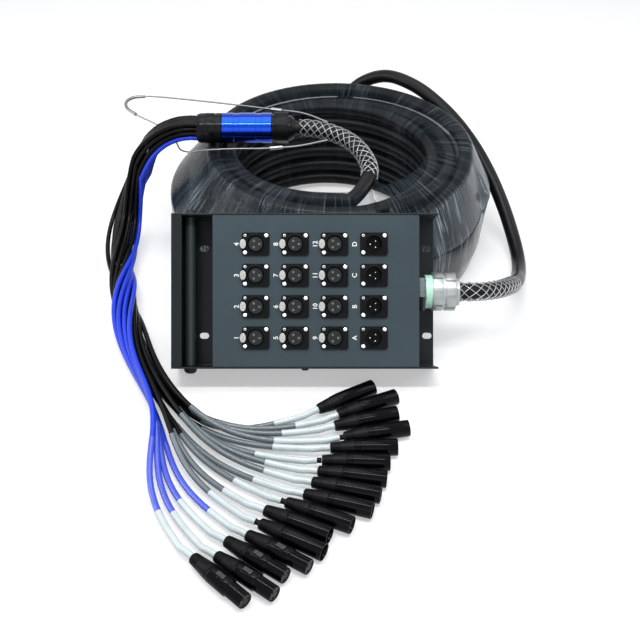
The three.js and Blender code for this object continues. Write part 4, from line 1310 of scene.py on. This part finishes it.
def filmMesh():
    rounds, across = film["angles"], film["across"]
    angles = np.linspace(math.pi / 2, math.pi * 2.5, rounds, endpoint=False)
    sections = np.stack([filmSection(angle) for angle in angles])
    for _ in range(film["smooth"]):
        sections = (np.roll(sections, 1, 0) + sections * 2 + np.roll(sections, -1, 0)) / 4
    rows = np.arange(across)
    toBox = stageFrame.inverted()
    verts = []
    for angle, section in zip(angles, sections):
        # Smoothing draws the film into a turn where the layers change, so it is pushed out again
        middles = turnMiddles(angle)
        away = section[:, None, :2] - middles[None]
        distances = np.sqrt((away ** 2).sum(2))
        near = distances.argmin(1)
        push = np.maximum((trunkRadius + film["offset"]) / distances[rows, near], 1)
        section[:, :2] = middles[near] + away[rows, near] * push[:, None]
        for radius, height, _ in section:
            level = max(height, film["floorGap"])
            place = filmCentre + Vector((math.cos(angle) * radius, math.sin(angle) * radius, level))
            inside = toBox @ (place * mm) / mm
            # Behind the box the film lies flat against the back plate
            if inside.z > -film["plateGap"] and inside.y < stageBox["height"] + film["plateGap"]:
                inside.z = -film["plateGap"]
                place = stageFrame @ (inside * mm) / mm
            verts.append(tuple(place * mm))
    faces = []
    for a in range(rounds):
        b = (a + 1) % rounds
        for s in range(across):
            t = (s + 1) % across
            faces.append((a * across + s, b * across + s, b * across + t, a * across + t))
    mesh = bpy.data.meshes.new("film")
    mesh.from_pydata(verts, [], faces)
    wrap = mesh.uv_layers.new(name="wrap")
    side = mesh.uv_layers.new(name="side")
    for face in mesh.polygons:
        a, s = divmod(face.index, across)
        for loop, (u, v) in zip(face.loop_indices, ((a, s), (a + 1, s), (a + 1, s + 1), (a, s + 1))):
            wrap.data[loop].uv = (u / rounds, v / across)
            side.data[loop].uv = (u / rounds, 1 if v == across else sections[u % rounds, v, 2])
    finishMesh(mesh, filmMaterial, 180)
    return mesh


# The film: a smoky body that shows the turns, patchy pale streaks of stretch marks and painted highlight,
# and gloss
filmLook = {"body": (0.013, 0.02, 0.025), "markAndSheen": (0.4, 0.49, 0.55), "markAndSheenAlpha": 0.8,
            "roughness": 0.2, "specular": 0.4, "bump": 0.6, "height": 1.1, "distortion": 0.2}
filmMarksAndSheen = (
    {"scale": (430, 8), "detail": 1, "low": 0.54, "high": 0.7, "least": 0, "most": 0.8},
    {"scale": (150, 3), "detail": 2, "low": 0.54, "high": 0.8, "least": 0, "most": 0.4},
    {"scale": (26, 1.4), "detail": 3, "low": 0.46, "high": 0.8, "least": 0, "most": 0.26},
)
filmMarkAndSheenPatches = {"scale": (17, 4), "detail": 3, "low": 0.38, "high": 0.62, "least": 0.08, "most": 1}
filmWrinkles = {"scale": (95, 2.6), "detail": 2}
# The film faces down at 0, outwards at a quarter, up at a half and into the hole at three quarters
# The wall zone runs from the underside to the outer wall; it is near opaque and dark, and under the coil
# this is painted shade over the floor seen between the turns
filmZones = {"wallEnd": 0.3, "topStart": 0.42, "topEnd": 0.57, "holeStart": 0.7, "wallAndUnderShadeAlpha": 0.94,
             "topAlpha": 0.3, "holeAlpha": 0.16, "topMarksAndSheen": 0.48, "holeMarksAndSheen": 0.46}


def makeFilmMaterial():
    material, tree, shader = newMaterial("stretchFilm")
    look, zones = filmLook, filmZones
    wrap = addNode(tree, "ShaderNodeUVMap", {}, uv_map="wrap").outputs["UV"]
    side = addNode(tree, "ShaderNodeUVMap", {}, uv_map="side").outputs["UV"]
    facing = addNode(tree, "ShaderNodeSeparateXYZ", {"Vector": side}).outputs["Y"]

    # Noise drawn out along the wrap
    def streaks(pattern):
        return noiseField(tree, wrap, (*pattern["scale"], 1), 1, pattern["detail"], look["distortion"])

    def marksAndSheen(pattern):
        limits = [pattern[key] for key in ("low", "high", "least", "most")]
        return ranged(tree, streaks(pattern), *limits)

    # One value on the outer wall, one on top and one inside the hole
    def zoned(wall, top, hole):
        first = ranged(tree, facing, zones["wallEnd"], zones["topStart"], wall, top)
        second = ranged(tree, facing, zones["topEnd"], zones["holeStart"], 1, hole / top)
        return nodeMath(tree, "MULTIPLY", first, second, clamp=True)

    # The pale streaks are partly stretch marks and partly painted highlight, in patches
    total = marksAndSheen(filmMarksAndSheen[0])
    for pattern in filmMarksAndSheen[1:]:
        total = nodeMath(tree, "ADD", total, marksAndSheen(pattern), clamp=True)
    total = nodeMath(tree, "MULTIPLY", total, marksAndSheen(filmMarkAndSheenPatches), clamp=True)
    # They are fainter on top and in the hole; on top they are painted sheen in place of gloss
    total = nodeMath(tree, "MULTIPLY", total, zoned(1, zones["topMarksAndSheen"], zones["holeMarksAndSheen"]), clamp=True)
    clear = zoned(zones["wallAndUnderShadeAlpha"], zones["topAlpha"], zones["holeAlpha"])
    markAndSheenOpacity = ranged(tree, total, 0, 1, 0, look["markAndSheenAlpha"])
    setInputs(tree, shader, {
        "Base Color": mixedColor(tree, total, look["body"], look["markAndSheen"]),
        "Roughness": look["roughness"],
        "Specular IOR Level": ranged(tree, facing, zones["wallEnd"], zones["topStart"], look["specular"], 0),
        "Alpha": nodeMath(tree, "MAXIMUM", clear, markAndSheenOpacity, clamp=True),
        "Normal": bumped(tree, streaks(filmWrinkles), look["bump"], look["height"]),
    })
    return material


filmMaterial = makeFilmMaterial()
filmPiece = keep("stretchFilm", filmMesh())
print("film made")


# Floor, world and lamps
# The camera and reflections see the bright shader, and the object is lit by the plain one
def backgroundMix(tree, plain, bright):
    rays = addNode(tree, "ShaderNodeLightPath", {}).outputs
    seen = nodeMath(tree, "MAXIMUM", rays["Is Camera Ray"], rays["Is Glossy Ray"])
    seen = nodeMath(tree, "MAXIMUM", seen, rays["Is Transmission Ray"])
    values = {0: seen, 1: plain.outputs[0], 2: bright.outputs[0]}
    return addNode(tree, "ShaderNodeMixShader", values).outputs[0]


worldLook = {"light": (0.86, 0.92, 1.0), "strength": 0.34}
world = bpy.data.worlds.new("studio")
world.use_nodes = True
worldTree = world.node_tree
soft = worldTree.nodes["Background"]
setInputs(worldTree, soft, {"Color": (*worldLook["light"], 1), "Strength": worldLook["strength"]})
white = addNode(worldTree, "ShaderNodeBackground", {"Color": (1, 1, 1, 1), "Strength": 1})
setInputs(worldTree, worldTree.nodes["World Output"], {"Surface": backgroundMix(worldTree, soft, white)})
scene.world = world

floorLook = {"size": 2.8, "color": (0.66, 0.66, 0.66), "roughness": 0.9, "glow": 0.42, "below": 0.4}
half = floorLook["size"] / 2
floorMaterial, floorTree, floorShader = newMaterial("floor")
setInputs(floorTree, floorShader, {
    "Base Color": (*floorLook["color"], 1), "Roughness": floorLook["roughness"], "Specular IOR Level": 0,
})
glow = addNode(floorTree, "ShaderNodeEmission", {"Strength": floorLook["glow"]})
glowing = addNode(floorTree, "ShaderNodeAddShader", {0: floorShader.outputs[0], 1: glow.outputs[0]})
floorSurface = backgroundMix(floorTree, floorShader, glowing)
setInputs(floorTree, floorTree.nodes["Material Output"], {"Surface": floorSurface})
floorMesh = bpy.data.meshes.new("floor")
corners = [(-half, -half, 0), (half, -half, 0), (half, half, 0), (-half, half, 0)]
floorMesh.from_pydata(corners, [], [(0, 1, 2, 3)])
floorMesh.materials.append(floorMaterial)
floor = addPiece("floor", floorMesh)
floor.location.z = -floorLook["below"] * mm

lamps = [
    {"name": "top", "place": (-0.15, 0.35, 1.7), "aim": (0.0, 0.05, 0.05), "size": (1.5, 1.2), "power": 14},
    {"name": "front", "place": (0.2, -1.8, 0.9), "aim": (0.0, 0.0, 0.1), "size": (1.4, 0.9), "power": 3},
    {"name": "strip", "place": (0.0, -0.32, 1.15), "aim": (0.0, 0.1, 0.1), "size": (1.3, 0.08), "power": 9},
    {"name": "left", "place": (-1.5, 0.1, 0.8), "aim": (0.0, 0.1, 0.1), "size": (0.7, 1.4), "power": 9},
    {"name": "right", "place": (1.5, 0.3, 0.9), "aim": (0.0, 0.1, 0.1), "size": (0.7, 1.4), "power": 6.5},
]
for lamp in lamps:
    data = bpy.data.lights.new(lamp["name"], "AREA")
    data.shape = "RECTANGLE"
    data.size, data.size_y = lamp["size"]
    data.energy = lamp["power"]
    light = bpy.data.objects.new(lamp["name"], data)
    light.location = lamp["place"]
    way = Vector(lamp["aim"]) - Vector(lamp["place"])
    light.rotation_euler = way.to_track_quat("-Z", "Y").to_euler()
    scene.collection.objects.link(light)

scene.view_settings.view_transform = "Standard"
print("scene built")
